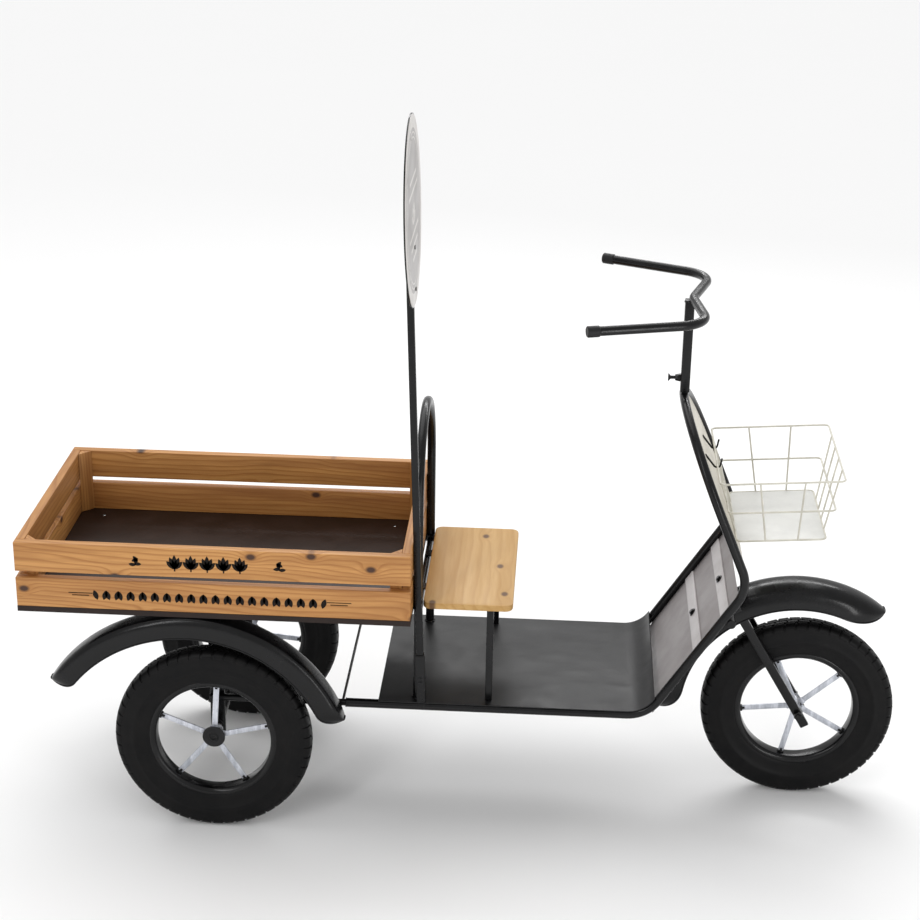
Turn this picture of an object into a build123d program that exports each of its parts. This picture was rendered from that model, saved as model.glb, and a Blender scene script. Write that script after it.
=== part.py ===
"""Three-wheeled vending cart in the shape of a stand-on scooter.

Millimetres. +X is the front of the cart, +Y its left side, +Z up, and the
floor is Z = 0. The cart is drawn about its own middle plane, and each piece is
saved moved sideways, so that the box of the whole cart, sign included, is
centred on X = 0 and Y = 0.
"""

import os
from math import cos, radians, sin

from build123d import *

os.makedirs("parts", exist_ok=True)

# ---------------------------------------------------------------- dimensions
WHEEL_R = 175.0              # tyre outer radius
TYRE_HALF = 23.0             # half the tyre width
RIM_IN = 102.0               # clear opening inside the rim
REAR_X, FRONT_X = -444.0, 600.0
TRACK_HALF = 200.0           # rear wheel centre planes
AXLE_R = 5.0
HUB_BORE = 5.05              # running fit on the axle ends

RAIL_Y, RAIL_Z = 165.0, 233.0
TUBE_R, TUBE_WALL = 8.0, 1.5
BEND_R = 64.0                # bends of the main tube, on its centre line
RAIL_R = 6.0                 # rear rails, pushed into the deck tubes
JOINT_X = -212.0             # rear rails slide into the deck tubes here
BEND_X = 318.0               # corner of the deck and the leg shield
SLOPE = radians(57.5)        # lower leg shield
RAKE = radians(22.8)         # upper leg shield, back from vertical
APEX = (361.0, 771.0)        # top of the arch, X and Z
ARCH_R = 165.0
PANEL_DROP = 120.0           # front panel, below the spring of the arch

DECK_TOP = 243.0
CRATE_L, CRATE_W, CRATE_H = 680.0, 440.0, 120.0
CRATE_BACK, CRATE_Z = -775.0, 426.0
BOARD, SLAT_H, SLAT_GAP = 16.0, 54.0, 12.0
PAN_T, PAN_LIP = 2.0, 10.0

HOOP_X, HOOP_Y, HOOP_TOP = -87.0, 150.0, 738.0
SEAT_TOP, SEAT_T = 434.5, 12.0
SIGN_R, SIGN_Z = 155.0, 1132.0
SIGN_X, SIGN_Y = -79.0, -166.0
SIGN_LEAN = -1.8             # degrees, towards the crate
SHIFT_Y = (SIGN_R - SIGN_Y - 230) / 2            # the sign sticks out further than a mudguard
BAR_Z = 950.0
BAR_TURN = radians(-4)       # the handlebar is welded a little out of square
SLIDE_GAP = 0.3              # spigot to stem, each face

# ------------------------------------------------ leg shield, side view lines
DOWN = (cos(SLOPE), sin(SLOPE))                  # up the lower shield
UP = (-sin(RAKE), cos(RAKE))                     # up the upper shield
SPRING = (APEX[0] - ARCH_R * UP[0], APEX[1] - ARCH_R * UP[1])
step = ((SPRING[0] - BEND_X) * UP[1] - (SPRING[1] - RAIL_Z) * UP[0]) / (
    DOWN[0] * UP[1] - DOWN[1] * UP[0])
KNEE = (BEND_X + step * DOWN[0], RAIL_Z + step * DOWN[1])


def shield(along, off):
    """Point on the lower leg shield: along it, and off towards the rider."""
    return (BEND_X + along * DOWN[0] - off * DOWN[1],
            RAIL_Z + along * DOWN[1] + off * DOWN[0])


def ring_plane(x, z, y, angle):
    """Section plane of a mudguard: local X is +Y, local Y points outwards."""
    a = radians(angle)
    return Plane(origin=(x, y, z), x_dir=(0, 1, 0), z_dir=(sin(a), 0, -cos(a)))


def save(builder, name):
    piece = builder.part.moved(Location((0, SHIFT_Y, 0)))
    piece.label = name
    export_step(piece, f"parts/{name}.step")


def lean(builder):
    """Tips a piece of the sign towards the crate and trims its foot to the deck."""
    tipped = builder.part.rotate(Axis((SIGN_X, 0, DECK_TOP), (0, 1, 0)), SIGN_LEAN)
    ground = Pos(SIGN_X, SIGN_Y, DECK_TOP) * Box(
        60, 60, 40, align=(Align.CENTER, Align.CENTER, Align.MAX))
    builder.part = tipped - ground


# --------------------------------------------------------------- chassis tubes
with BuildPart() as deck_tubes:
    with Locations(Location((JOINT_X, -RAIL_Y, RAIL_Z), (0, 90, 0)),
                   Location((JOINT_X, RAIL_Y, RAIL_Z), (0, 90, 0))):
        Cylinder(TUBE_R, 280 - JOINT_X, align=(Align.CENTER, Align.CENTER, Align.MIN))
        Cylinder(RAIL_R, 280 - JOINT_X, mode=Mode.SUBTRACT,
                 align=(Align.CENTER, Align.CENTER, Align.MIN))
save(deck_tubes, "deck_tubes")

with BuildPart() as loop_solid:
    with BuildLine() as loop_path:
        leg = FilletPolyline((280, -RAIL_Y, RAIL_Z), (BEND_X, -RAIL_Y, RAIL_Z),
                             (KNEE[0], -RAIL_Y, KNEE[1]), (SPRING[0], -RAIL_Y, SPRING[1]),
                             radius=BEND_R)
        arch = ThreePointArc((SPRING[0], -RAIL_Y, SPRING[1]), (APEX[0], 0, APEX[1]),
                             (SPRING[0], RAIL_Y, SPRING[1]))
        other = FilletPolyline((SPRING[0], RAIL_Y, SPRING[1]), (KNEE[0], RAIL_Y, KNEE[1]),
                               (BEND_X, RAIL_Y, RAIL_Z), (280, RAIL_Y, RAIL_Z),
                               radius=BEND_R)
    with BuildSketch(Plane(origin=(280, -RAIL_Y, RAIL_Z), z_dir=(1, 0, 0))):
        Circle(TUBE_R)
    sweep(path=loop_path.wires()[0])

with BuildPart() as shield_loop:
    add(loop_solid.part)
    with BuildSketch(Plane(origin=(280, -RAIL_Y, RAIL_Z), z_dir=(1, 0, 0))):
        Circle(TUBE_R - TUBE_WALL)
    sweep(path=loop_path.wires()[0], mode=Mode.SUBTRACT)
save(shield_loop, "shield_loop")

with BuildPart() as rear_rails:
    for s in (-1, 1):
        with Locations(Location((-456, s * RAIL_Y, RAIL_Z), (0, 90, 0))):
            Cylinder(RAIL_R, JOINT_X + 44 + 456, align=(Align.CENTER, Align.CENTER, Align.MIN))
save(rear_rails, "rear_rails")

with BuildPart() as rear_axle:
    with Locations(Location((REAR_X, 0, WHEEL_R), (90, 0, 0))):
        Cylinder(TUBE_R, 352)
        Cylinder(AXLE_R, 402)
save(rear_axle, "rear_axle")

with BuildPart() as rear_uprights:
    for s in (-1, 1):
        with Locations((REAR_X, s * 156.5, (160 + 416) / 2)):
            Box(26, 5, 416 - 160)
    with Locations(Location((REAR_X, 0, WHEEL_R), (90, 0, 0))):
        Cylinder(TUBE_R, 400, mode=Mode.SUBTRACT)
save(rear_uprights, "rear_uprights")

with BuildPart() as cross_bars:
    with Locations(Location((-110, 0, DECK_TOP - 8), (90, 0, 0)),
                   Location((190, 0, DECK_TOP - 8), (90, 0, 0))):
        Cylinder(6, 2 * RAIL_Y)
    with Locations(Location((-219, 0, RAIL_Z), (90, 0, 0))):
        Cylinder(2.5, 2 * RAIL_Y)
    for s in (-1, 1):
        with Locations(Location((JOINT_X, s * RAIL_Y, RAIL_Z), (0, 90, 0))):
            Cylinder(TUBE_R, 600, mode=Mode.SUBTRACT,
                     align=(Align.CENTER, Align.CENTER, Align.MIN))
            Cylinder(RAIL_R, 200, mode=Mode.SUBTRACT)
save(cross_bars, "cross_bars")

# ------------------------------------------------------------------ deck sheet
with BuildPart() as deck_sheet:
    with BuildSketch(Plane.XZ):
        with BuildLine():
            FilletPolyline((-155, DECK_TOP - 1), shield((9 - 9.1 * DOWN[0]) / DOWN[1], 9.1),
                           shield(37, 9.1), radius=BEND_R - 9.1)
        trace(line_width=2)
    extrude(amount=RAIL_Y + 7, both=True)
save(deck_sheet, "deck_sheet")

# ------------------------------------------------------------------ leg shield
SHEET_OFF = -7.25
with BuildPart() as shield_sheet:
    with BuildSketch(Plane.XZ):
        with BuildLine():
            Line(shield(8, SHEET_OFF), shield(266, SHEET_OFF))
        trace(line_width=1.5)
    extrude(amount=RAIL_Y - TUBE_R, both=True)
    for along in (148, 229):
        p = shield(along, 0)
        with Locations(Plane(origin=(p[0], 0, p[1]), z_dir=(-DOWN[1], 0, DOWN[0]))):
            Cylinder(2.6, 40, mode=Mode.SUBTRACT)
save(shield_sheet, "shield_sheet")

with BuildPart() as shield_slats:
    for along in (148, 229):
        p = shield(along, SHEET_OFF + 0.75)
        with Locations(Plane(origin=(p[0], 0, p[1]), x_dir=(0, 1, 0),
                             z_dir=(-DOWN[1], 0, DOWN[0]))):
            Box(2 * (RAIL_Y - TUBE_R), 24, 3, align=(Align.CENTER, Align.CENTER, Align.MIN))
            Cylinder(2.6, 40, mode=Mode.SUBTRACT)
save(shield_slats, "shield_slats")

with BuildPart() as shield_cross_tube:
    p = shield(229, -16)
    with Locations(Location((p[0], 0, p[1]), (90, 0, 0))):
        Cylinder(TUBE_R, 2 * (RAIL_Y + TUBE_R))
    q = shield(229, 0)
    with Locations(Plane(origin=(q[0], 0, q[1]), z_dir=(-DOWN[1], 0, DOWN[0]))):
        Cylinder(2.6, 60, mode=Mode.SUBTRACT)
save(shield_cross_tube, "shield_cross_tube")

with BuildPart() as shield_bolts:
    for along, low in ((148, -24), (229, -27)):
        p = shield(along, 0)
        face = Plane(origin=(p[0], 0, p[1]), z_dir=(-DOWN[1], 0, DOWN[0]))
        with Locations(face.offset(SHEET_OFF + 3.75)):
            Cylinder(6, 4, align=(Align.CENTER, Align.CENTER, Align.MIN))
        with Locations(face.offset(low)):
            Cylinder(2.5, SHEET_OFF + 3.75 - low, align=(Align.CENTER, Align.CENTER, Align.MIN))
save(shield_bolts, "shield_bolts")

# front panel: flat sheet with a half-round top, set inside the arch
front = Plane(origin=(SPRING[0], 0, SPRING[1]), x_dir=(0, 1, 0), z_dir=(UP[1], 0, -UP[0]))
with BuildPart() as front_panel:
    with BuildSketch(front):
        with Locations((0, -200)):
            SlotCenterToCenter(400, 2 * (ARCH_R - TUBE_R - 0.2), rotation=90)
        with Locations((0, -PANEL_DROP)):
            Rectangle(500, 500, align=(Align.CENTER, Align.MAX), mode=Mode.SUBTRACT)
    extrude(amount=0.6, both=True)
save(front_panel, "front_panel")

# --------------------------------------------------------- fork and front axle
FORK_TOP = shield(229, -16)
fork_len = ((FRONT_X - FORK_TOP[0]) ** 2 + (WHEEL_R - FORK_TOP[1]) ** 2) ** 0.5
FORK_DIR = ((FRONT_X - FORK_TOP[0]) / fork_len, (WHEEL_R - FORK_TOP[1]) / fork_len)
fork_plane = Plane(origin=(FORK_TOP[0], 0, FORK_TOP[1]), x_dir=(0, 1, 0),
                   z_dir=(FORK_DIR[0], 0, FORK_DIR[1]))
with BuildPart() as fork:
    with Locations(fork_plane.offset(4)):
        with Locations((-33, 0), (33, 0)):
            Box(10, 16, fork_len + 26, align=(Align.CENTER, Align.CENTER, Align.MIN))
    with Locations(Location((FORK_TOP[0], 0, FORK_TOP[1]), (90, 0, 0))):
        Cylinder(TUBE_R, 400, mode=Mode.SUBTRACT)
    with Locations(Location((FRONT_X, 0, WHEEL_R), (90, 0, 0))):
        Cylinder(AXLE_R, 200, mode=Mode.SUBTRACT)
save(fork, "fork")

with BuildPart() as front_axle:
    with Locations(Location((FRONT_X, 0, WHEEL_R), (90, 0, 0))):
        Cylinder(AXLE_R, 96)
    for s in (-1, 1):
        with BuildSketch(Plane(origin=(FRONT_X, s * 38, WHEEL_R), z_dir=(0, s, 0))):
            RegularPolygon(8.5, 6)
        extrude(amount=6)
save(front_axle, "front_axle")

# ------------------------------------------------------------------ mudguards
FF_X, FF_Z, FF_R = 590.0, 183.0, 248.0
with BuildPart() as front_fender:
    with BuildSketch(ring_plane(FF_X, FF_Z, 0, 51)):
        with BuildLine():
            FilletPolyline((-40.75, 206), (-40.75, FF_R - 0.75), (40.75, FF_R - 0.75),
                           (40.75, 206), radius=24)
        trace(line_width=1.5)
    revolve(axis=Axis((FF_X, 0, FF_Z), (0, -1, 0)), revolution_arc=133)
    with Locations(fork_plane):
        with Locations((-33, 0), (33, 0)):
            Box(11, 17, 200, mode=Mode.SUBTRACT,
                align=(Align.CENTER, Align.CENTER, Align.MIN))
    p = shield(148, 0)
    with Locations(Plane(origin=(p[0], 0, p[1]), z_dir=(-DOWN[1], 0, DOWN[0]))):
        Cylinder(2.6, 60, mode=Mode.SUBTRACT)
    # round the lower corners of both ends
    for a in (51, 184):
        t = radians(a)
        c = (FF_X + 206 * cos(t), FF_Z + 206 * sin(t))
        with Locations(Location((c[0], 0, c[1]), (90, 0, 0))):
            Cylinder(26, 200, mode=Mode.SUBTRACT)
save(front_fender, "front_fender")

RF_X, RF_Z, RF_R = -484.0, 126.0, 290.0
RF_Y = 202.0
for side, s in (("right", -1), ("left", 1)):
    with BuildPart() as rear_fender:
        with BuildSketch(ring_plane(RF_X, RF_Z, s * RF_Y, 19)):
            with BuildLine():
                FilletPolyline((-27.25, 253), (-27.25, RF_R - 0.75), (27.25, RF_R - 0.75),
                               (27.25, 253), radius=10)
            trace(line_width=1.5)
        revolve(axis=Axis((RF_X, 0, RF_Z), (0, -1, 0)), revolution_arc=129)
        for a in (19, 148):
            t = radians(a)
            c = (RF_X + 253 * cos(t), RF_Z + 253 * sin(t))
            with Locations(Location((c[0], s * RF_Y, c[1]), (90, 0, 0))):
                Cylinder(22, 90, mode=Mode.SUBTRACT)
    save(rear_fender, f"rear_fender_{side}")

with BuildPart() as fender_stays:
    for s in (-1, 1):
        with Locations((-234, s * (RAIL_Y + RAIL_R + 1.5), RAIL_Z - 2)):
            Box(28, 3, 20)
save(fender_stays, "fender_stays")

# --------------------------------------------------------------- tray and crate
MID_X = CRATE_BACK + CRATE_L / 2
with BuildPart() as tray_pan:
    with Locations((MID_X, 0, CRATE_Z - PAN_LIP)):
        Box(CRATE_L, CRATE_W, PAN_LIP, align=(Align.CENTER, Align.CENTER, Align.MIN))
        Box(CRATE_L - 2 * PAN_T, CRATE_W - 2 * PAN_T, PAN_LIP - PAN_T, mode=Mode.SUBTRACT,
            align=(Align.CENTER, Align.CENTER, Align.MIN))
    with Locations((MID_X, 0, CRATE_Z)):
        with GridLocations(556, 350, 2, 2):
            Cylinder(3, 20, mode=Mode.SUBTRACT)
        with GridLocations(CRATE_L - 2 * BOARD - 13, CRATE_W - 2 * BOARD - 13, 2, 2):
            Cylinder(2, 20, mode=Mode.SUBTRACT)
save(tray_pan, "tray_pan")

with BuildPart() as tray_bearers:
    for x, wide in ((-690, 25), (REAR_X - 20, 80), (-190, 25)):
        with Locations((x, 0, CRATE_Z - PAN_T)):
            Box(wide, CRATE_W - 2 * PAN_T, PAN_LIP - PAN_T,
                align=(Align.CENTER, Align.CENTER, Align.MAX))
save(tray_bearers, "tray_bearers")

for side, s in (("right", -1), ("left", 1)):
    with BuildPart() as crate_side:
        for z in (CRATE_Z, CRATE_Z + SLAT_H + SLAT_GAP):
            with Locations((MID_X, s * (CRATE_W - BOARD) / 2, z)):
                Box(CRATE_L, BOARD, SLAT_H, align=(Align.CENTER, Align.CENTER, Align.MIN))
    save(crate_side, f"crate_side_{side}")

for side, s in (("rear", -1), ("front", 1)):
    with BuildPart() as crate_end:
        for z in (CRATE_Z, CRATE_Z + SLAT_H + SLAT_GAP):
            with Locations((MID_X + s * (CRATE_L - BOARD) / 2, 0, z)):
                Box(BOARD, CRATE_W - 2 * BOARD, SLAT_H,
                    align=(Align.CENTER, Align.CENTER, Align.MIN))
    save(crate_end, f"crate_end_{side}")

with BuildPart() as corner_posts:
    for i in (-1, 1):
        for j in (-1, 1):
            cx = MID_X + i * (CRATE_L / 2 - BOARD)
            cy = j * (CRATE_W / 2 - BOARD)
            with BuildSketch(Plane.XY.offset(CRATE_Z)):
                with BuildLine():
                    Polyline((cx, cy), (cx - i * 21, cy), (cx, cy - j * 21), close=True)
                make_face()
            extrude(amount=CRATE_H)
    with Locations((MID_X, 0, CRATE_Z)):
        with GridLocations(CRATE_L - 2 * BOARD - 13, CRATE_W - 2 * BOARD - 13, 2, 2):
            Cylinder(2, 50, mode=Mode.SUBTRACT)
save(corner_posts, "corner_posts")

with BuildPart() as crate_screws:
    with Locations((MID_X, 0, CRATE_Z - PAN_T)):
        with GridLocations(CRATE_L - 2 * BOARD - 13, CRATE_W - 2 * BOARD - 13, 2, 2):
            Cylinder(2, 25, align=(Align.CENTER, Align.CENTER, Align.MIN))
            Cylinder(4, 2.5, align=(Align.CENTER, Align.CENTER, Align.MAX))
save(crate_screws, "crate_screws")

# ---------------------------------------------------------------- back hoop, seat
with BuildPart() as back_hoop:
    with BuildLine() as hoop_path:
        Line((HOOP_X, -HOOP_Y, DECK_TOP), (HOOP_X, -HOOP_Y, HOOP_TOP - HOOP_Y))
        ThreePointArc((HOOP_X, -HOOP_Y, HOOP_TOP - HOOP_Y), (HOOP_X, 0, HOOP_TOP),
                      (HOOP_X, HOOP_Y, HOOP_TOP - HOOP_Y))
        Line((HOOP_X, HOOP_Y, HOOP_TOP - HOOP_Y), (HOOP_X, HOOP_Y, DECK_TOP))
    with BuildSketch(Plane(origin=(HOOP_X, -HOOP_Y, DECK_TOP), z_dir=(0, 0, 1))):
        Circle(TUBE_R)
        Circle(TUBE_R - TUBE_WALL, mode=Mode.SUBTRACT)
    sweep(path=hoop_path.wires()[0])
save(back_hoop, "back_hoop")

with BuildPart() as tray_clips:
    for s in (-1, 1):
        with Locations((HOOP_X, s * (HOOP_Y - TUBE_R - 1.5), CRATE_Z)):
            Box(16, 3, 12, align=(Align.CENTER, Align.CENTER, Align.MAX))
save(tray_clips, "tray_clips")

with BuildPart() as seat_rear_bar:
    with Locations(Location((HOOP_X, 0, SEAT_TOP - SEAT_T - 9), (90, 0, 0))):
        Cylinder(6, 2 * (HOOP_Y - TUBE_R - 3))
    for s in (-1, 1):
        with Locations((-69, s * 70, SEAT_TOP - SEAT_T - 1.5)):
            Box(44, 22, 3)
        with Locations((-60, s * 70, SEAT_TOP - SEAT_T)):
            Cylinder(2, 20, mode=Mode.SUBTRACT)
save(seat_rear_bar, "seat_rear_bar")

with BuildPart() as seat_front_frame:
    for s in (-1, 1):
        with Locations((39, s * HOOP_Y, DECK_TOP)):
            Box(12, 12, SEAT_TOP - SEAT_T - DECK_TOP,
                align=(Align.CENTER, Align.CENTER, Align.MIN))
    with Locations((39, 0, SEAT_TOP - SEAT_T - 6)):
        Box(12, 2 * HOOP_Y, 12)
    with Locations((39, -70, SEAT_TOP), (39, 70, SEAT_TOP)):
        Cylinder(2, 80, mode=Mode.SUBTRACT)
save(seat_front_frame, "seat_front_frame")

with BuildPart() as seat_board:
    with BuildSketch(Plane.XY.offset(SEAT_TOP - SEAT_T)):
        Rectangle(156, 328)
        fillet(vertices().group_by(Axis.X)[-1], 16)
        fillet(vertices().group_by(Axis.X)[0], 5)
    extrude(amount=SEAT_T)
    fillet(faces().sort_by(Axis.Z)[-1].edges(), 2.5)
    with Locations((-60, -70, SEAT_TOP - SEAT_T), (-60, 70, SEAT_TOP - SEAT_T),
                   (39, -70, SEAT_TOP - SEAT_T), (39, 70, SEAT_TOP - SEAT_T)):
        Cylinder(2, 16, mode=Mode.SUBTRACT)
save(seat_board, "seat_board")

with BuildPart() as seat_screws:
    for x, low in ((-60, 3), (39, 12)):
        with Locations((x, -70, SEAT_TOP - SEAT_T), (x, 70, SEAT_TOP - SEAT_T)):
            Cylinder(2, 8, align=(Align.CENTER, Align.CENTER, Align.MIN))
            Cylinder(2, low, align=(Align.CENTER, Align.CENTER, Align.MAX))
        with Locations((x, -70, SEAT_TOP - SEAT_T - low), (x, 70, SEAT_TOP - SEAT_T - low)):
            Cylinder(4, 2, align=(Align.CENTER, Align.CENTER, Align.MAX))
save(seat_screws, "seat_screws")

# --------------------------------------------------------------------- sign
with BuildPart() as pole_socket:
    with Locations((SIGN_X, SIGN_Y, DECK_TOP - 2)):
        Box(16, 16, 94, align=(Align.CENTER, Align.CENTER, Align.MIN))
        Box(12, 12, 94, mode=Mode.SUBTRACT, align=(Align.CENTER, Align.CENTER, Align.MIN))
    for z in (282, 290):
        with Locations(Location((SIGN_X, SIGN_Y - 7, z), (90, 0, 0))):
            Cylinder(1.5, 8, mode=Mode.SUBTRACT)
lean(pole_socket)
save(pole_socket, "pole_socket")

with BuildPart() as sign_pole:
    with Locations((SIGN_X, SIGN_Y, DECK_TOP - 2)):
        Box(12, 12, 862, align=(Align.CENTER, Align.CENTER, Align.MIN))
        Box(9, 9, 860, mode=Mode.SUBTRACT, align=(Align.CENTER, Align.CENTER, Align.MIN))
    for z in (282, 290):
        with Locations(Location((SIGN_X, SIGN_Y - 5, z), (90, 0, 0))):
            Cylinder(1.5, 6, mode=Mode.SUBTRACT)
    for z in (SIGN_Z - 130, SIGN_Z - 60):
        with Locations(Location((SIGN_X + 5, SIGN_Y, z), (0, 90, 0))):
            Cylinder(1.5, 6, mode=Mode.SUBTRACT)
lean(sign_pole)
save(sign_pole, "sign_pole")

with BuildPart() as sign_disc:
    with Locations(Location((SIGN_X + 6, SIGN_Y, SIGN_Z), (0, 90, 0))):
        Cylinder(SIGN_R, 3, align=(Align.CENTER, Align.CENTER, Align.MIN))
    for z in (SIGN_Z - 130, SIGN_Z - 60):
        with Locations(Location((SIGN_X + 6, SIGN_Y, z), (0, 90, 0))):
            Cylinder(1.5, 10, mode=Mode.SUBTRACT)
lean(sign_disc)
save(sign_disc, "sign_disc")

with BuildPart() as sign_screws:
    for z in (282, 290):
        with Locations(Location((SIGN_X, SIGN_Y - 8, z), (90, 0, 0))):
            Cylinder(3, 1.5, align=(Align.CENTER, Align.CENTER, Align.MIN))
            Cylinder(1.5, 3.5, align=(Align.CENTER, Align.CENTER, Align.MAX))
    for z in (SIGN_Z - 130, SIGN_Z - 60):
        with Locations(Location((SIGN_X + 9, SIGN_Y, z), (0, 90, 0))):
            Cylinder(3.5, 1.5, align=(Align.CENTER, Align.CENTER, Align.MIN))
            Cylinder(1.5, 4.5, align=(Align.CENTER, Align.CENTER, Align.MAX))
lean(sign_screws)
save(sign_screws, "sign_screws")

# ------------------------------------------------------------ handlebar and stem
STEM_Z = APEX[1] + 10
with BuildPart() as stem_spigot:
    with Locations((APEX[0], 0, APEX[1])):
        Box(12 - 2 * SLIDE_GAP, 12 - 2 * SLIDE_GAP, 85,
            align=(Align.CENTER, Align.CENTER, Align.MIN))
    add(loop_solid.part, mode=Mode.SUBTRACT)
save(stem_spigot, "stem_spigot")



def bar_point(x, y):
    """Corner of the handlebar, turned about the stem."""
    dx = x - APEX[0]
    return (APEX[0] + dx * cos(BAR_TURN) - y * sin(BAR_TURN),
            dx * sin(BAR_TURN) + y * cos(BAR_TURN), BAR_Z)


with BuildPart() as bar_solid:
    with BuildLine() as bar_path:
        FilletPolyline(bar_point(202, -213), bar_point(397, -140), bar_point(366, 0),
                       bar_point(397, 140), bar_point(202, 213), radius=58)
    begin = bar_path.wires()[0]
    with BuildSketch(Plane(origin=begin @ 0, z_dir=begin % 0)):
        Circle(TUBE_R)
    sweep(path=begin)

with BuildPart() as handlebar:
    add(bar_solid.part)
    with BuildSketch(Plane(origin=begin @ 0, z_dir=begin % 0)):
        Circle(TUBE_R - TUBE_WALL)
    sweep(path=begin, mode=Mode.SUBTRACT)
save(handlebar, "handlebar")

with BuildPart() as handlebar_stem:
    with Locations((APEX[0], 0, STEM_Z)):
        Box(16, 16, BAR_Z - STEM_Z - 2, align=(Align.CENTER, Align.CENTER, Align.MIN))
        Box(12, 12, BAR_Z - STEM_Z - 14, mode=Mode.SUBTRACT,
            align=(Align.CENTER, Align.CENTER, Align.MIN))
    add(bar_solid.part, mode=Mode.SUBTRACT)
    with Locations(Location((APEX[0] - 7, 0, 806), (0, 90, 0))):
        Cylinder(3.05, 4, mode=Mode.SUBTRACT)
save(handlebar_stem, "handlebar_stem")

with BuildPart() as clamp_nut:
    with BuildSketch(Plane(origin=(APEX[0] - 8, 0, 806), z_dir=(-1, 0, 0))):
        RegularPolygon(7.5, 6)
    extrude(amount=10, taper=9)
    with Locations(Location((APEX[0] - 13, 0, 806), (0, 90, 0))):
        Cylinder(3.05, 12, mode=Mode.SUBTRACT)
save(clamp_nut, "clamp_nut")

with BuildPart() as thumb_screw:
    with Locations(Location((APEX[0] - 6.6, 0, 806), (0, -90, 0))):
        Cylinder(3.0, 19, align=(Align.CENTER, Align.CENTER, Align.MIN))
    with BuildSketch(Plane.XZ):
        with BuildLine():
            Polyline((APEX[0] - 24, 804), (APEX[0] - 30, 799), (APEX[0] - 30, 813),
                     (APEX[0] - 24, 808), close=True)
        make_face()
    extrude(amount=1.75, both=True)
save(thumb_screw, "thumb_screw")

with BuildPart() as grip_caps:
    for end, t in ((begin @ 0, begin % 0), (begin @ 1, (begin % 1) * -1)):
        cap = Plane(origin=end, z_dir=t)
        with Locations(cap.offset(-2)):
            Cylinder(9.5, 22, align=(Align.CENTER, Align.CENTER, Align.MIN))
        with Locations(cap):
            Cylinder(TUBE_R, 22, mode=Mode.SUBTRACT, align=(Align.CENTER, Align.CENTER, Align.MIN))
    fillet(edges().filter_by(GeomType.CIRCLE).filter_by(lambda e: abs(e.radius - 9.5) < 0.01)
           .group_by(Axis.X)[0], 1.2)
save(grip_caps, "grip_caps")

# --------------------------------------------------------------------- wheels
HALF_RIM = 16.5
RIM_OUTLINE = [(-HALF_RIM, 113), (-HALF_RIM, 108), (-13, RIM_IN), (13, RIM_IN),
               (HALF_RIM, 108), (HALF_RIM, 113), (14.5, 113), (14.5, 109), (12, 104.5),
               (-12, 104.5), (-14.5, 109), (-14.5, 113)]
TREAD = [(HALF_RIM, 113), (20.2, 120), (22.4, 131), (TYRE_HALF, 146), (22.2, 159),
         (19.5, 169), (12, 173.8), (0, WHEEL_R)]

for name, x, y, phase, hub_r, hub_low, hub_high in (
        ("rear_right", REAR_X, -TRACK_HALF, 14, 12, -3, 23),
        ("rear_left", REAR_X, TRACK_HALF, 66, 12, -23, 3),
        ("front", FRONT_X, 0, 42, 10, -27, 27)):
    axis = Axis((x, y, WHEEL_R), (0, 1, 0))
    flat = Plane(origin=(x, y, WHEEL_R), x_dir=(0, 1, 0), z_dir=(1, 0, 0))
    middle = Plane(origin=(x, y, WHEEL_R), x_dir=(1, 0, 0), z_dir=(0, -1, 0))

    with BuildPart() as tyre:
        with BuildSketch(flat):
            with BuildLine():
                Polyline((-HALF_RIM, 113), (-14.5, 113), (-14.5, 109), (-12, 104.5),
                         (12, 104.5), (14.5, 109), (14.5, 113), (HALF_RIM, 113))
                Spline(*TREAD, tangents=((0.55, 1), (-1, 0)))
                Spline(*[(-a, b) for a, b in TREAD], tangents=((-0.55, 1), (1, 0)))
            make_face()
        revolve(axis=axis)
    save(tyre, f"tyre_{name}")

    with BuildPart() as rim:
        with BuildSketch(flat):
            with BuildLine():
                Polyline(*RIM_OUTLINE, close=True)
            make_face()
        revolve(axis=axis)
    save(rim, f"rim_{name}")

    with BuildPart() as spokes:
        with BuildSketch(middle):
            with PolarLocations(0, 5, start_angle=phase):
                with Locations((60, 0)):
                    Rectangle(120, 10)
            Circle(hub_r, mode=Mode.SUBTRACT)
            Circle(RIM_IN, mode=Mode.INTERSECT)
        extrude(amount=1.5, both=True)
    save(spokes, f"spokes_{name}")

    with BuildPart() as hub:
        with BuildSketch(Plane(origin=(x, y + hub_low, WHEEL_R), z_dir=(0, 1, 0))):
            Circle(hub_r)
            Circle(HUB_BORE, mode=Mode.SUBTRACT)
        extrude(amount=hub_high - hub_low)
    save(hub, f"hub_{name}")

for side, s in (("right", -1), ("left", 1)):
    outer = Plane(origin=(REAR_X, s * (TRACK_HALF + 3), WHEEL_R), z_dir=(0, s, 0))
    with BuildPart() as hub_cap:
        with Locations(outer):
            Cylinder(20, 4, align=(Align.CENTER, Align.CENTER, Align.MIN))
        with BuildSketch(outer.offset(4)):
            RegularPolygon(6, 6)
        extrude(amount=2.5)
        chamfer(faces().sort_by(Axis.Y)[0 if s < 0 else -1].edges(), 0.6)
    save(hub_cap, f"hub_cap_{side}")

# --------------------------------------------------------------------- basket
# drawn level about its middle, then hung with its front a little higher
HANG = Location((531.5, 0, 612), (0, -4, 0))
LEVELS = ((58.5, 105, 133), (0, 90.5, 120.5), (-58.5, 76, 108))
WIRE, POST = 1.5, 1.2        # rim and rung wires, and the thinner uprights

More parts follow.
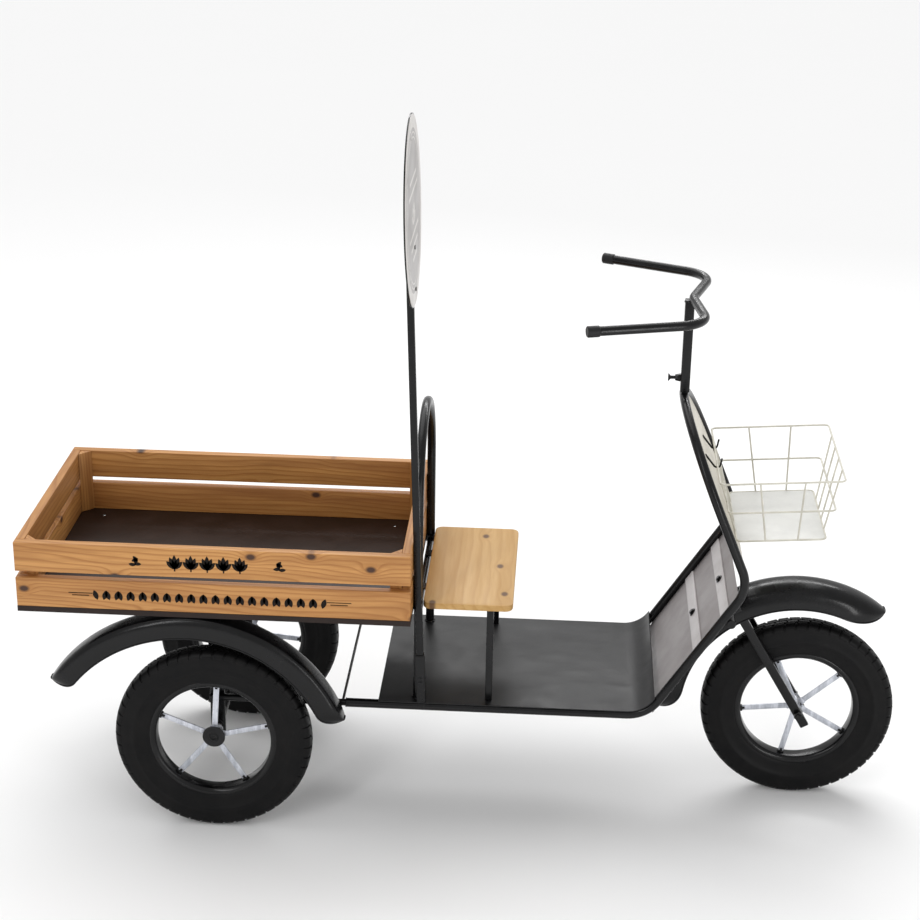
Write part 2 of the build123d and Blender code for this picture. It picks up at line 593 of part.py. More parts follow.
with BuildPart() as basket_wires:
    for z, hx, hy in LEVELS:
        with BuildLine() as ring:
            FilletPolyline((hx, -hy, z), (hx, hy, z), (-hx, hy, z), (-hx, -hy, z),
                           radius=12, close=True)
        path = ring.wires()[0]
        with BuildSketch(Plane(origin=path @ 0, z_dir=path % 0)):
            Circle(WIRE)
        sweep(path=path)
    (zt, xt, yt), (zb, xb, yb) = LEVELS[0], LEVELS[2]
    posts = [(i * xt, f * yt, i * xb, f * yb) for i in (-1, 1) for f in (-0.6, -0.2, 0.2, 0.6)]
    posts += [(f * xt, j * yt, f * xb, j * yb) for j in (-1, 1) for f in (-0.36, 0.36)]
    for tx, ty, bx, by in posts:
        top, low = Vector(tx, ty, zt), Vector(bx, by, zb)
        with BuildSketch(Plane(origin=low, z_dir=top - low)):
            Circle(POST)
        extrude(amount=(top - low).length)
basket_wires.part.location = HANG
save(basket_wires, "basket_wires")

with BuildPart() as basket_base:
    with BuildSketch(Plane.XY.offset(zb)):
        RectangleRounded(2 * (xb - WIRE), 2 * (yb - WIRE), 12 - WIRE)
    extrude(amount=0.6, both=True)
basket_base.part.location = HANG
save(basket_base, "basket_base")

with BuildPart() as basket_hooks:
    for s in (-1, 1):
        with BuildLine() as hook_path:
            FilletPolyline((400.4, s * 45, 683), (419, s * 45, 659.9), (426.5, s * 45, 659.9),
                           (429.5, s * 45, 676), radius=3)
        path = hook_path.wires()[0]
        with BuildSketch(Plane(origin=path @ 0, z_dir=path % 0)):
            Circle(WIRE)
        sweep(path=path)
save(basket_hooks, "basket_hooks")
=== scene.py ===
"""Push vending cart: the visible meshes, finishes, studio floor, lights and camera.

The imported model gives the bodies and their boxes. Lengths are in millimetres until a
mesh is written, and +X is the front of the cart. Pieces are drawn about the cart's own
middle plane, which lies SHIFT to the left of the origin, and moved there at the end.
"""

from math import atan2, ceil, cos, pi, radians, sin, sqrt, tan

import bmesh
import bpy
from mathutils import Matrix, Vector, noise


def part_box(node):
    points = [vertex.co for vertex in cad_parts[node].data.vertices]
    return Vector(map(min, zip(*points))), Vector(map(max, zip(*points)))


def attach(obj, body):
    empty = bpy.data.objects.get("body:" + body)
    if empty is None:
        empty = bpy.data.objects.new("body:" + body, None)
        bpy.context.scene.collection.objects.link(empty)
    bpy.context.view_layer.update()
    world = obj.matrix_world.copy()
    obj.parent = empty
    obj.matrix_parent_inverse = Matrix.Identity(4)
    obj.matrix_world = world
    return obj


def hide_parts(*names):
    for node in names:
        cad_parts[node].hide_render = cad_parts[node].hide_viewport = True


bl_info = {
    "name": "Vending Cart Looks",
    "version": (1, 0, 0),
    "blender": (4, 5, 0),
    "location": "View3D > Sidebar > Cart",
    "description": "Builds the visible pieces and finishes of a three-wheeled vending cart",
    "category": "Object",
}

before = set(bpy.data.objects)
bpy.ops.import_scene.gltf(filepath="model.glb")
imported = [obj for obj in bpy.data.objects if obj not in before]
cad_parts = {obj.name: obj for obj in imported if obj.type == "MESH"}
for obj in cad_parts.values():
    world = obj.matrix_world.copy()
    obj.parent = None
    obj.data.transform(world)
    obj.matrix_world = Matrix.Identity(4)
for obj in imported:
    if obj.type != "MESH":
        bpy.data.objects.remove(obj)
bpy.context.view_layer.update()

MM = 0.001
SHIFT = Vector((0, 45.5, 0))               # from the cart's middle plane to the frame's origin
TUBE = 8.0                                 # radius of the chassis tube
THIN_TUBE = 6.0                            # radius of the rear rails that slide into it
RAIL_Y, RAIL_Z = 165.0, 233.0              # centre line of the deck tubes
JOINT_X = -212.0                           # where the rear rails come out of the deck tubes
BEND_X, BEND = 318.0, 64.0                 # corner where the deck turns up, and bend radius
SLOPE, RAKE = radians(57.5), radians(22.8)     # lean of the lower shield and of the arch
APEX_X, APEX_Z, ARCH = 361.0, 771.0, 165.0     # top of the arch, and its radius
UP_LOW = Vector((cos(SLOPE), 0, sin(SLOPE)))
UP_HIGH = Vector((-sin(RAKE), 0, cos(RAKE)))
SPRING = Vector((APEX_X, 0, APEX_Z)) - ARCH * UP_HIGH
SLATS_ALONG = (148, 229)                   # the shield's two slats, measured up its slope
HOOP_X, HOOP_Y, DECK_Z = -87, 150, 243     # feet of the back hoop on the deck
UPRIGHT_X, UPRIGHT_Y = -444, (154.0, 159.0)
AXLE_Z = 175
BOARD, BOARD_STEP = 54, 66                 # height of a crate board, and from one to the next
SMOOTH_UNDER = radians(38)                 # edges sharper than this stay crisp


def box_mm(node):
    """Lowest and highest corner of a CAD node, in millimetres from the cart's middle plane."""
    low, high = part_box(node)
    return low / MM - SHIFT, high / MM - SHIFT


# ------------------------------------------------------------------- mesh helpers
def close(bm, name, material, body, slot, *nodes):
    """Turns a bmesh in millimetres into a finished piece that stands for the CAD nodes."""
    bmesh.ops.remove_doubles(bm, verts=bm.verts, dist=0.001)
    bmesh.ops.recalc_face_normals(bm, faces=bm.faces)
    bmesh.ops.translate(bm, vec=SHIFT, verts=bm.verts)
    bmesh.ops.scale(bm, vec=(MM, MM, MM), verts=bm.verts)
    mesh = bpy.data.meshes.new(name)
    bm.to_mesh(mesh)
    bm.free()
    mesh.shade_smooth()
    mesh.set_sharp_from_angle(angle=SMOOTH_UNDER)
    mesh.materials.clear()
    mesh.materials.append(material)
    piece = bpy.data.objects.new(name, mesh)
    bpy.context.scene.collection.objects.link(piece)
    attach(piece, body)
    if nodes:
        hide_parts(*nodes)
    return piece


def coat(bm, name, *nodes):
    """Finishes a powder coated piece of the chassis."""
    return close(bm, name, MAT["coat"], "chassis", "black_powder_coat", *nodes)


def rounded_path(corners, bends, step=radians(6)):
    """Straight runs joined by arcs: one bend radius for each inner corner."""
    points = [Vector(corners[0])]
    for before, here, after, bend in zip(corners, corners[1:], corners[2:], bends):
        before, here, after = Vector(before), Vector(here), Vector(after)
        back, on = (before - here).normalized(), (after - here).normalized()
        turn = pi - back.angle(on)
        reach = bend * tan(turn / 2)
        centre = here + (back + on).normalized() * (bend / cos(turn / 2))
        start, count = here + back * reach - centre, max(3, ceil(turn / step))
        axis = start.cross(here + on * reach - centre).normalized()
        points += [centre + Matrix.Rotation(turn * i / count, 3, axis) @ start
                   for i in range(count + 1)]
    return points + [Vector(corners[-1])]


def add_tube(bm, points, radius, sides=24, closed=False, bore=0.0, soft=0.6):
    """A round bar or tube along points. Open ends get a small chamfer, and a bore if it has one."""
    count = len(points)
    runs = [(points[(i + 1) % count] - points[i]).normalized() for i in range(count)]
    if not closed:
        runs[-1] = runs[-2]
    ways = [(runs[i] + runs[i - 1]).normalized() if closed or 0 < i < count - 1 else runs[i]
            for i in range(count)]
    side = ways[0].orthogonal().normalized()
    sides_at = []
    for way in ways:
        side = (side - way * side.dot(way)).normalized()
        sides_at.append(side)
    if closed:                               # spread the leftover twist along the loop
        last = (sides_at[-1] - ways[0] * sides_at[-1].dot(ways[0])).normalized()
        twist = atan2(last.cross(sides_at[0]).dot(ways[0]), last.dot(sides_at[0]))
        sides_at = [Matrix.Rotation(twist * i / count, 3, ways[i]) @ s
                    for i, s in enumerate(sides_at)]

    def ring(centre, way, across, r):
        other = way.cross(across)
        return [bm.verts.new(centre + across * (r * cos(a)) + other * (r * sin(a)))
                for a in (2 * pi * k / sides for k in range(sides))]

    def skin(rings):
        for low, high in zip(rings, rings[1:]):
            for k in range(sides):
                bm.faces.new((low[k], low[k - 1], high[k - 1], high[k]))

    if closed:
        rings = [ring(p, w, s, radius) for p, w, s in zip(points, ways, sides_at)]
        skin(rings + rings[:1])
        return
    first, last = (points[0], ways[0], sides_at[0]), (points[-1], ways[-1], sides_at[-1])
    rings = [ring(first[0], *first[1:], radius - soft),
             ring(first[0] + first[1] * soft, *first[1:], radius)]
    rings += [ring(p, w, s, radius) for p, w, s in zip(points[1:-1], ways[1:-1], sides_at[1:-1])]
    rings += [ring(last[0] - last[1] * soft, *last[1:], radius),
              ring(last[0], *last[1:], radius - soft)]
    if bore:
        deep = 3 * radius
        head = [ring(first[0] + first[1] * d, *first[1:], bore) for d in (deep, 0)]
        tail = [ring(last[0] - last[1] * d, *last[1:], bore) for d in (0, deep)]
        rings = head + rings + tail
    skin(rings)
    bm.faces.new(rings[0])
    bm.faces.new(list(reversed(rings[-1])))


def add_lathe(bm, profile, centre, segments=96):
    """Turns a closed outline of (radius, offset along Y) points about the Y axis through centre."""
    centre = Vector(centre)
    rings = []
    for i in range(segments):
        a = 2 * pi * i / segments
        out = Vector((cos(a), 0, sin(a)))
        rings.append([bm.verts.new(centre + out * r + Vector((0, y, 0))) for r, y in profile])
    for i in range(segments):
        here, there = rings[i - 1], rings[i]
        for k in range(len(profile)):
            m = (k + 1) % len(profile)
            bm.faces.new((here[k], here[m], there[m], there[k]))


def add_block(bm, low, high, bevel=1.0, segments=2, turn=None):
    """A box with rounded edges between two corners, turned about its middle if asked."""
    low, high = Vector(low), Vector(high)
    size, middle = high - low, (low + high) / 2
    part = bmesh.new()
    bmesh.ops.create_cube(part, size=1.0)
    bmesh.ops.scale(part, vec=size, verts=part.verts)
    if bevel:
        bmesh.ops.bevel(part, geom=part.edges[:], offset=bevel, segments=segments, profile=0.5,
                        affect="EDGES")
    if turn is not None:
        bmesh.ops.transform(part, matrix=turn, verts=part.verts)
    bmesh.ops.translate(part, vec=middle, verts=part.verts)
    merge(bm, part)


def merge(bm, part):
    """Adds one bmesh to another and frees it."""
    mesh = bpy.data.meshes.new("spare")
    part.to_mesh(mesh)
    part.free()
    bm.from_mesh(mesh)
    bpy.data.meshes.remove(mesh)


def add_plate(bm, outline, thick, origin, across, up, bevel=0.0):
    """A flat sheet: outline points run along across and up, and it thickens along their normal."""
    origin, across, up = Vector(origin), Vector(across), Vector(up)
    part = bmesh.new()
    face = part.faces.new([part.verts.new(origin + across * u + up * v) for u, v in outline])
    out = bmesh.ops.extrude_face_region(part, geom=[face])
    moved = [g for g in out["geom"] if isinstance(g, bmesh.types.BMVert)]
    bmesh.ops.translate(part, vec=across.cross(up).normalized() * thick, verts=moved)
    if bevel:
        rim = [e for e in part.edges if e.calc_face_angle(0) > radians(60)]
        bmesh.ops.bevel(part, geom=rim, offset=bevel, segments=2, profile=0.5, affect="EDGES")
    merge(bm, part)


def add_weld(bm, centre, radius, normal, seed, bead=1.6):
    """A lumpy fillet of weld round a tube's foot."""
    normal = Vector(normal).normalized()
    side = normal.orthogonal().normalized()
    other = normal.cross(side)
    count = 30
    points = []
    for i in range(count):
        a = 2 * pi * i / count
        lump = 0.5 * noise.noise(Vector((3 * cos(a), 3 * sin(a), seed)))
        points.append(Vector(centre) + (side * cos(a) + other * sin(a)) * (radius + lump)
                      + normal * (0.3 + 0.5 * lump))
    add_tube(bm, points, bead, sides=8, closed=True)


def add_nut(bm, radii, depth, soft, turn, middle):
    """A six-sided nut of two end radii, stood along Z, turned, and moved to its place."""
    nut = bmesh.new()
    bmesh.ops.create_cone(nut, cap_ends=True, segments=6, radius1=radii[0], radius2=radii[1],
                          depth=depth)
    bmesh.ops.bevel(nut, geom=nut.edges[:], offset=soft, segments=2, profile=0.5, affect="EDGES")
    bmesh.ops.rotate(nut, matrix=turn, verts=nut.verts)
    bmesh.ops.translate(nut, vec=middle, verts=nut.verts)
    merge(bm, nut)


def rounded_outline(width, height, corner, steps=5):
    """Corner points of a rounded rectangle about its middle."""
    points = []
    for i, (sx, sy) in enumerate(((1, 1), (-1, 1), (-1, -1), (1, -1))):
        cx, cy = sx * (width / 2 - corner), sy * (height / 2 - corner)
        for k in range(steps + 1):
            a = pi / 2 * (i + k / steps)
            points.append((cx + corner * cos(a), cy + corner * sin(a)))
    return points


def mark_grain(piece, boards):
    """Stores, for each board, where its own grain runs: along X or Y, with a shift of its own."""
    mesh = piece.data
    mesh.attributes.new("grain", "FLOAT_VECTOR", "POINT")
    mesh.attributes.new("tone", "FLOAT", "POINT")
    # looked up only now: adding an attribute makes the ones fetched before it stale
    grain, tone = mesh.attributes["grain"], mesh.attributes["tone"]
    for vert in mesh.vertices:
        p = vert.co / MM - SHIFT
        for low, high, along, seed in boards:
            if all(a - 0.6 <= c <= b + 0.6 for a, c, b in zip(low, p, high)):
                q = p - (Vector(low) + Vector(high)) / 2
                order = {"X": (q.x, q.z, q.y), "Y": (q.y, q.z, q.x), "Z": (q.z, q.x, q.y),
                         "TOP": (q.y, q.x, q.z)}[along]
                shift = Vector((seed * 1.37, seed * 0.211, seed * 0.083))
                grain.data[vert.index].vector = Vector(order) * MM + shift
                tone.data[vert.index].value = (seed * 0.618) % 1
                break


# ----------------------------------------------------------------- geometry nodes
def add(tree, kind, inputs=None, **settings):
    """Adds one node; an input is linked if it is given a socket, and set if it is a value."""
    made = tree.nodes.new(kind)
    for key, value in settings.items():
        setattr(made, key, value)
    for key, value in (inputs or {}).items():
        if isinstance(value, bpy.types.NodeSocket):
            tree.links.new(value, made.inputs[key])
        else:
            made.inputs[key].default_value = value
    return made


def new_tree(name, sockets):
    """A geometry tree with these named inputs, and the outputs of its Group Input node."""
    tree = bpy.data.node_groups.new(name, "GeometryNodeTree")
    tree.interface.new_socket("Geometry", in_out="INPUT", socket_type="NodeSocketGeometry")
    for label, kind in sockets:
        tree.interface.new_socket(label, in_out="INPUT", socket_type="NodeSocket" + kind)
    tree.interface.new_socket("Geometry", in_out="OUTPUT", socket_type="NodeSocketGeometry")
    return tree, add(tree, "NodeGroupInput").outputs


def end_tree(tree, geometry, material):
    """Ends a geometry tree: instances made real, and the finish set."""
    real = add(tree, "GeometryNodeRealizeInstances", {"Geometry": geometry})
    done = add(tree, "GeometryNodeSetMaterial", {"Geometry": real.outputs[0], "Material": material})
    tree.links.new(done.outputs[0], add(tree, "NodeGroupOutput").inputs[0])
    return tree


def wheel_ring_tree():
    """Copies the item round the Y axis and moves the ring to Centre: tread blocks, spokes, rivets."""
    tree, given = new_tree("Ring about an axle", (
        ("Count", "Int"), ("Phase", "Float"), ("Centre", "Vector"), ("Finish", "Material")))
    points = add(tree, "GeometryNodeMeshLine", {"Count": given["Count"], "Offset": (0, 0, 0)})
    index = add(tree, "GeometryNodeInputIndex")
    step = add(tree, "ShaderNodeMath", {0: 2 * pi, 1: given["Count"]}, operation="DIVIDE")
    turn = add(tree, "ShaderNodeMath", {0: index.outputs[0], 1: step.outputs[0], 2: given["Phase"]},
               operation="MULTIPLY_ADD")
    spin = add(tree, "ShaderNodeCombineXYZ", {"Y": turn.outputs[0]})
    copies = add(tree, "GeometryNodeInstanceOnPoints", {
        "Points": points.outputs[0], "Instance": given["Geometry"], "Rotation": spin.outputs[0]})
    moved = add(tree, "GeometryNodeTransform", {
        "Geometry": copies.outputs[0], "Translation": given["Centre"]})
    return end_tree(tree, moved.outputs[0], given["Finish"])


def row_tree():
    """Copies the item in a straight row: the printed leaves."""
    tree, given = new_tree("Row of items", (
        ("Count", "Int"), ("Start", "Vector"), ("Step", "Vector"), ("Finish", "Material")))
    points = add(tree, "GeometryNodeMeshLine", {
        "Count": given["Count"], "Start Location": given["Start"], "Offset": given["Step"]})
    copies = add(tree, "GeometryNodeInstanceOnPoints", {
        "Points": points.outputs[0], "Instance": given["Geometry"]})
    return end_tree(tree, copies.outputs[0], given["Finish"])


def wire_tree():
    """Bends round wire along loose edges: the basket and its hooks."""
    tree, given = new_tree("Bent wire", (
        ("Radius", "Float"), ("Bend", "Float"), ("Finish", "Material")))
    path = add(tree, "GeometryNodeMeshToCurve", {"Mesh": given["Geometry"]})
    bent = add(tree, "GeometryNodeFilletCurve", {
        "Curve": path.outputs[0], "Radius": given["Bend"], "Count": 6, "Limit Radius": True},
        mode="POLY")
    ring = add(tree, "GeometryNodeCurvePrimitiveCircle", {"Resolution": 12, "Radius": given["Radius"]})
    wire = add(tree, "GeometryNodeCurveToMesh", {
        "Curve": bent.outputs[0], "Profile Curve": ring.outputs[0], "Fill Caps": True})
    return end_tree(tree, wire.outputs[0], given["Finish"])


def grow_into(bm, tree, item, values):
    """Runs a node tree on item and adds the result to bm. Both are bmeshes in millimetres."""
    bmesh.ops.scale(item, vec=(MM, MM, MM), verts=item.verts)
    mesh = bpy.data.meshes.new("item")
    item.to_mesh(mesh)
    item.free()
    holder = bpy.data.objects.new("item", mesh)
    bpy.context.scene.collection.objects.link(holder)
    modifier = holder.modifiers.new("grow", "NODES")
    modifier.node_group = tree
    names = {s.name: s.identifier for s in tree.interface.items_tree
             if s.item_type == "SOCKET" and s.in_out == "INPUT"}
    for key, value in values.items():
        modifier[names[key]] = value
    grown = bpy.data.meshes.new_from_object(
        holder.evaluated_get(bpy.context.evaluated_depsgraph_get()))
    holder.modifiers.remove(modifier)
    bpy.data.objects.remove(holder)
    bpy.data.meshes.remove(mesh)
    grown.transform(Matrix.Diagonal((1 / MM, 1 / MM, 1 / MM, 1)))
    bm.from_mesh(grown)
    bpy.data.meshes.remove(grown)


# ---------------------------------------------------------------------- materials
def srgb(code):
    """#rrggbb to linear colour with alpha."""
    values = [int(code[i:i + 2], 16) / 255 for i in (1, 3, 5)]
    return tuple(v / 12.92 if v <= 0.04045 else ((v + 0.055) / 1.055) ** 2.4 for v in values) + (1,)


def start(name, **shader_inputs):
    """An empty material with one Principled shader; an input's spaces are written as underscores."""
    material = bpy.data.materials.new(name)
    material.use_nodes = True
    tree = material.node_tree
    tree.nodes.clear()
    shader = add(tree, "ShaderNodeBsdfPrincipled", {
        key.replace("_", " "): value for key, value in shader_inputs.items()})
    tree.links.new(shader.outputs[0], add(tree, "ShaderNodeOutputMaterial").inputs[0])
    return material, tree, shader


def place(tree):
    """Coordinates in metres, fixed to the piece."""
    return add(tree, "ShaderNodeTexCoord").outputs["Object"]


def speckle(tree, where, size_mm, detail=2.0, roughness=0.5):
    """Noise whose lumps are about size_mm across."""
    return add(tree, "ShaderNodeTexNoise", {
        "Vector": where, "Scale": 1 / (size_mm * MM), "Detail": detail,
        "Roughness": roughness}).outputs["Fac"]


def span(tree, value, low, high, to_low, to_high):
    """Spreads values between low and high over to_low to to_high, and holds them outside."""
    return add(tree, "ShaderNodeMapRange", {
        "Value": value, "From Min": low, "From Max": high, "To Min": to_low,
        "To Max": to_high}).outputs["Result"]


def blend(tree, factor, one, two):
    """Mixes two colours; each of the three may be a value or a socket."""
    mixed = add(tree, "ShaderNodeMix", data_type="RGBA")
    for socket, value in zip((0, 6, 7), (factor, one, two)):
        if isinstance(value, bpy.types.NodeSocket):
            tree.links.new(value, mixed.inputs[socket])
        else:
            mixed.inputs[socket].default_value = value
    return mixed.outputs[2]


def emboss(tree, shader, height, depth_mm, strength=1.0):
    """Fine relief on the surface, depth_mm from its lowest to its highest."""
    bump = add(tree, "ShaderNodeBump", {
        "Height": height, "Distance": depth_mm * MM, "Strength": strength})
    tree.links.new(bump.outputs[0], shader.inputs["Normal"])


def powder_coat(name, colour, scuff, rough=(0.34, 0.5), peel=0.12):
    """Powder coat: even satin with a fine orange peel, slightly rougher and paler where it is rubbed."""
    material, tree, shader = start(name, IOR=1.5, Specular_IOR_Level=0.3)
    where = place(tree)
    rubbed = span(tree, speckle(tree, where, 55, 5, 0.6), 0.42, 0.72, 0, 1)
    dust = span(tree, speckle(tree, where, 6, 3, 0.6), 0.5, 0.8, 0, 0.35)
    tint = blend(tree, rubbed, srgb(colour), srgb(scuff))
    tint = blend(tree, dust, tint, srgb(scuff))
    tree.links.new(tint, shader.inputs["Base Color"])
    tree.links.new(span(tree, rubbed, 0, 1, *rough), shader.inputs["Roughness"])
    # real orange peel is about 1.5 mm across: drawn at 4 mm so that it shows
    emboss(tree, shader, speckle(tree, where, 4, 2), peel)
    return material


def moulded_rubber(name):
    """Moulded tyre rubber: nearly matt, faintly dusty, with a sheen only on its curves."""
    material, tree, shader = start(name, IOR=1.52, Specular_IOR_Level=0.14)
    where = place(tree)
    dusty = span(tree, speckle(tree, where, 38, 5, 0.62), 0.4, 0.75, 0, 1)
    tint = blend(tree, dusty, srgb("#0a0a0b"), srgb("#151414"))
    tree.links.new(tint, shader.inputs["Base Color"])
    tree.links.new(span(tree, dusty, 0, 1, 0.4, 0.56), shader.inputs["Roughness"])
    # the mould's own grain is 0.5 mm: drawn at 2.5 mm
    emboss(tree, shader, speckle(tree, where, 2.5, 3), 0.06)
    return material


def moulded_plastic(name, colour):
    """Soft black vinyl: even and low in gloss, with a fine moulded texture."""
    material, tree, shader = start(name, IOR=1.5, Specular_IOR_Level=0.3)
    where = place(tree)
    patch = speckle(tree, where, 9, 3)
    tree.links.new(blend(tree, patch, srgb(colour), srgb("#1d1d1e")), shader.inputs["Base Color"])
    tree.links.new(span(tree, patch, 0.3, 0.7, 0.42, 0.55), shader.inputs["Roughness"])
    emboss(tree, shader, speckle(tree, where, 1.8), 0.05)
    return material


def bare_metal(name, colour, dark, rough=(0.28, 0.45), metallic=1.0):
    """Zinc plate: bright, with cloudy streaks left by rolling and handling."""
    material, tree, shader = start(name, Metallic=metallic)
    where = place(tree)
    drawn = add(tree, "ShaderNodeMapping", {"Vector": where, "Scale": (60, 60, 4)}).outputs[0]
    cloud = add(tree, "ShaderNodeTexNoise", {
        "Vector": drawn, "Scale": 1.6, "Detail": 5.0, "Roughness": 0.65}).outputs["Fac"]
    spots = span(tree, speckle(tree, where, 5, 4, 0.7), 0.52, 0.7, 0, 0.6)
    tint = blend(tree, span(tree, cloud, 0.35, 0.65, 0, 1), srgb(colour), srgb(dark))
    tree.links.new(blend(tree, spots, tint, srgb(dark)), shader.inputs["Base Color"])
    tree.links.new(span(tree, cloud, 0.3, 0.7, *rough), shader.inputs["Roughness"])
    emboss(tree, shader, cloud, 0.05)
    return material


def painted_sheet(name, colour, shade, rough=(0.45, 0.6), smudge_mm=70):
    """Painted sheet steel: flat colour that darkens in faint smudges, with a fine tooth."""
    material, tree, shader = start(name, IOR=1.5)
    where = place(tree)
    smudge = span(tree, speckle(tree, where, smudge_mm, 4, 0.6), 0.42, 0.72, 0, 0.8)
    marks = span(tree, speckle(tree, where, 7, 4, 0.7), 0.6, 0.74, 0, 0.5)
    tint = blend(tree, smudge, srgb(colour), srgb(shade))
    tree.links.new(blend(tree, marks, tint, srgb(shade)), shader.inputs["Base Color"])
    tree.links.new(span(tree, smudge, 0, 0.8, *rough), shader.inputs["Roughness"])
    emboss(tree, shader, speckle(tree, where, 3), 0.05)
    return material


def pine(name, early, late, deep, knot, ring_mm=7.0):
    """Varnished knotty pine: growth rings cut flat, so they run as long arches along the board.

    early and late are the colours of spring and summer wood, and deep that of darker streaks.
    """
    material, tree, shader = start(name, IOR=1.5)
    grain = add(tree, "ShaderNodeAttribute", attribute_name="grain").outputs["Vector"]
    tone = add(tree, "ShaderNodeAttribute", attribute_name="tone").outputs["Fac"]
    long_way = add(tree, "ShaderNodeMapping", {"Vector": grain, "Scale": (2.6, 13, 13)}).outputs[0]
    wander = add(tree, "ShaderNodeTexNoise", {"Vector": long_way, "Scale": 1.0, "Detail": 2.0})
    # knots: one in every cell or two of a coarse pattern, stretched along the grain
    cells = add(tree, "ShaderNodeMapping", {"Vector": grain, "Scale": (8.5, 12.5, 3)}).outputs[0]
    knots = add(tree, "ShaderNodeTexVoronoi", {"Vector": cells, "Scale": 1.0}, feature="F1",
                voronoi_dimensions="2D")
    lucky = add(tree, "ShaderNodeSeparateColor", {"Color": knots.outputs["Color"]}).outputs[0]
    lucky = add(tree, "ShaderNodeMath", {0: lucky, 1: 0.5}, operation="GREATER_THAN").outputs[0]
    near = span(tree, knots.outputs["Distance"], 0.0, 0.34, 1, 0)
    near = add(tree, "ShaderNodeMath", {0: near, 1: lucky}, operation="MULTIPLY").outputs[0]
    swell = add(tree, "ShaderNodeMath", {0: near, 1: 2.0}, operation="POWER").outputs[0]
    parts = add(tree, "ShaderNodeSeparateXYZ", {"Vector": grain})
    # distance from a pith that lies below the board and is tilted a little along it
    sunk = add(tree, "ShaderNodeMath", {0: parts.outputs["X"], 1: 0.05, 2: 0.045},
               operation="MULTIPLY_ADD").outputs[0]
    sunk = add(tree, "ShaderNodeMath", {0: sunk, 1: parts.outputs["Z"]}, operation="ADD").outputs[0]
    pushed = add(tree, "ShaderNodeMath", {0: wander.outputs["Fac"], 1: 0.05,
                 2: parts.outputs["Y"]}, operation="MULTIPLY_ADD").outputs[0]
    flat = add(tree, "ShaderNodeCombineXYZ", {"X": sunk, "Y": pushed})
    reach = add(tree, "ShaderNodeVectorMath", {0: flat.outputs[0]}, operation="LENGTH").outputs["Value"]
    reach = add(tree, "ShaderNodeMath", {0: swell, 1: 0.016, 2: reach},
                operation="MULTIPLY_ADD").outputs[0]
    rings = add(tree, "ShaderNodeMath", {0: reach, 1: 1 / (ring_mm * MM)},
                operation="MULTIPLY").outputs[0]
    ring = add(tree, "ShaderNodeMath", {0: rings}, operation="FRACT").outputs[0]
    ramp = add(tree, "ShaderNodeValToRGB", {"Fac": ring})
    ramp.color_ramp.elements[0].color = srgb(early)
    ramp.color_ramp.elements[1].position = 0.86
    ramp.color_ramp.elements[1].color = srgb(late)
    for position, code in ((0.45, early), (1.0, early)):
        ramp.color_ramp.elements.new(position).color = srgb(code)
    # fibres: short dark dashes a fraction of a millimetre wide, drawn about 1 mm wide
    thread = add(tree, "ShaderNodeMapping", {"Vector": grain, "Scale": (22, 900, 900)}).outputs[0]
    fibre = add(tree, "ShaderNodeTexNoise", {
        "Vector": thread, "Scale": 1.0, "Detail": 3.0, "Roughness": 0.6}).outputs["Fac"]
    broad = add(tree, "ShaderNodeMapping", {"Vector": grain, "Scale": (3, 40, 40)}).outputs[0]
    streaks = add(tree, "ShaderNodeTexNoise", {
        "Vector": broad, "Scale": 1.0, "Detail": 4.0, "Roughness": 0.6}).outputs["Fac"]
    tint = blend(tree, span(tree, streaks, 0.42, 0.72, 0, 0.85), ramp.outputs[0], srgb(deep))
    tint = blend(tree, span(tree, fibre, 0.5, 0.78, 0, 0.5), tint, srgb(late))
    tint = blend(tree, span(tree, tone, 0, 1, 0.0, 0.32), tint, srgb(deep))
    halo = span(tree, near, 0.45, 0.8, 0, 0.75)
    tint = blend(tree, halo, tint, srgb(late))
    heart = span(tree, near, 0.72, 0.86, 0, 0.95)
    tint = blend(tree, heart, tint, srgb(knot))
    tree.links.new(tint, shader.inputs["Base Color"])
    tree.links.new(span(tree, streaks, 0.3, 0.7, 0.42, 0.58), shader.inputs["Roughness"])
    height = add(tree, "ShaderNodeMath", {0: fibre, 1: ring}, operation="ADD").outputs[0]
    emboss(tree, shader, height, 0.12, 0.7)
    return material


def stencil_paint(name):
    """Stencilled paint: thin black, broken up where the wood's pores did not take it."""
    material, tree, shader = start(name, IOR=1.5, Roughness=0.7, Specular_IOR_Level=0.2)
    worn = span(tree, speckle(tree, place(tree), 3.5, 5, 0.7), 0.55, 0.7, 0, 0.55)
    tree.links.new(blend(tree, worn, srgb("#120e0b"), srgb("#5c3a1e")), shader.inputs["Base Color"])
    return material


MAT = {}


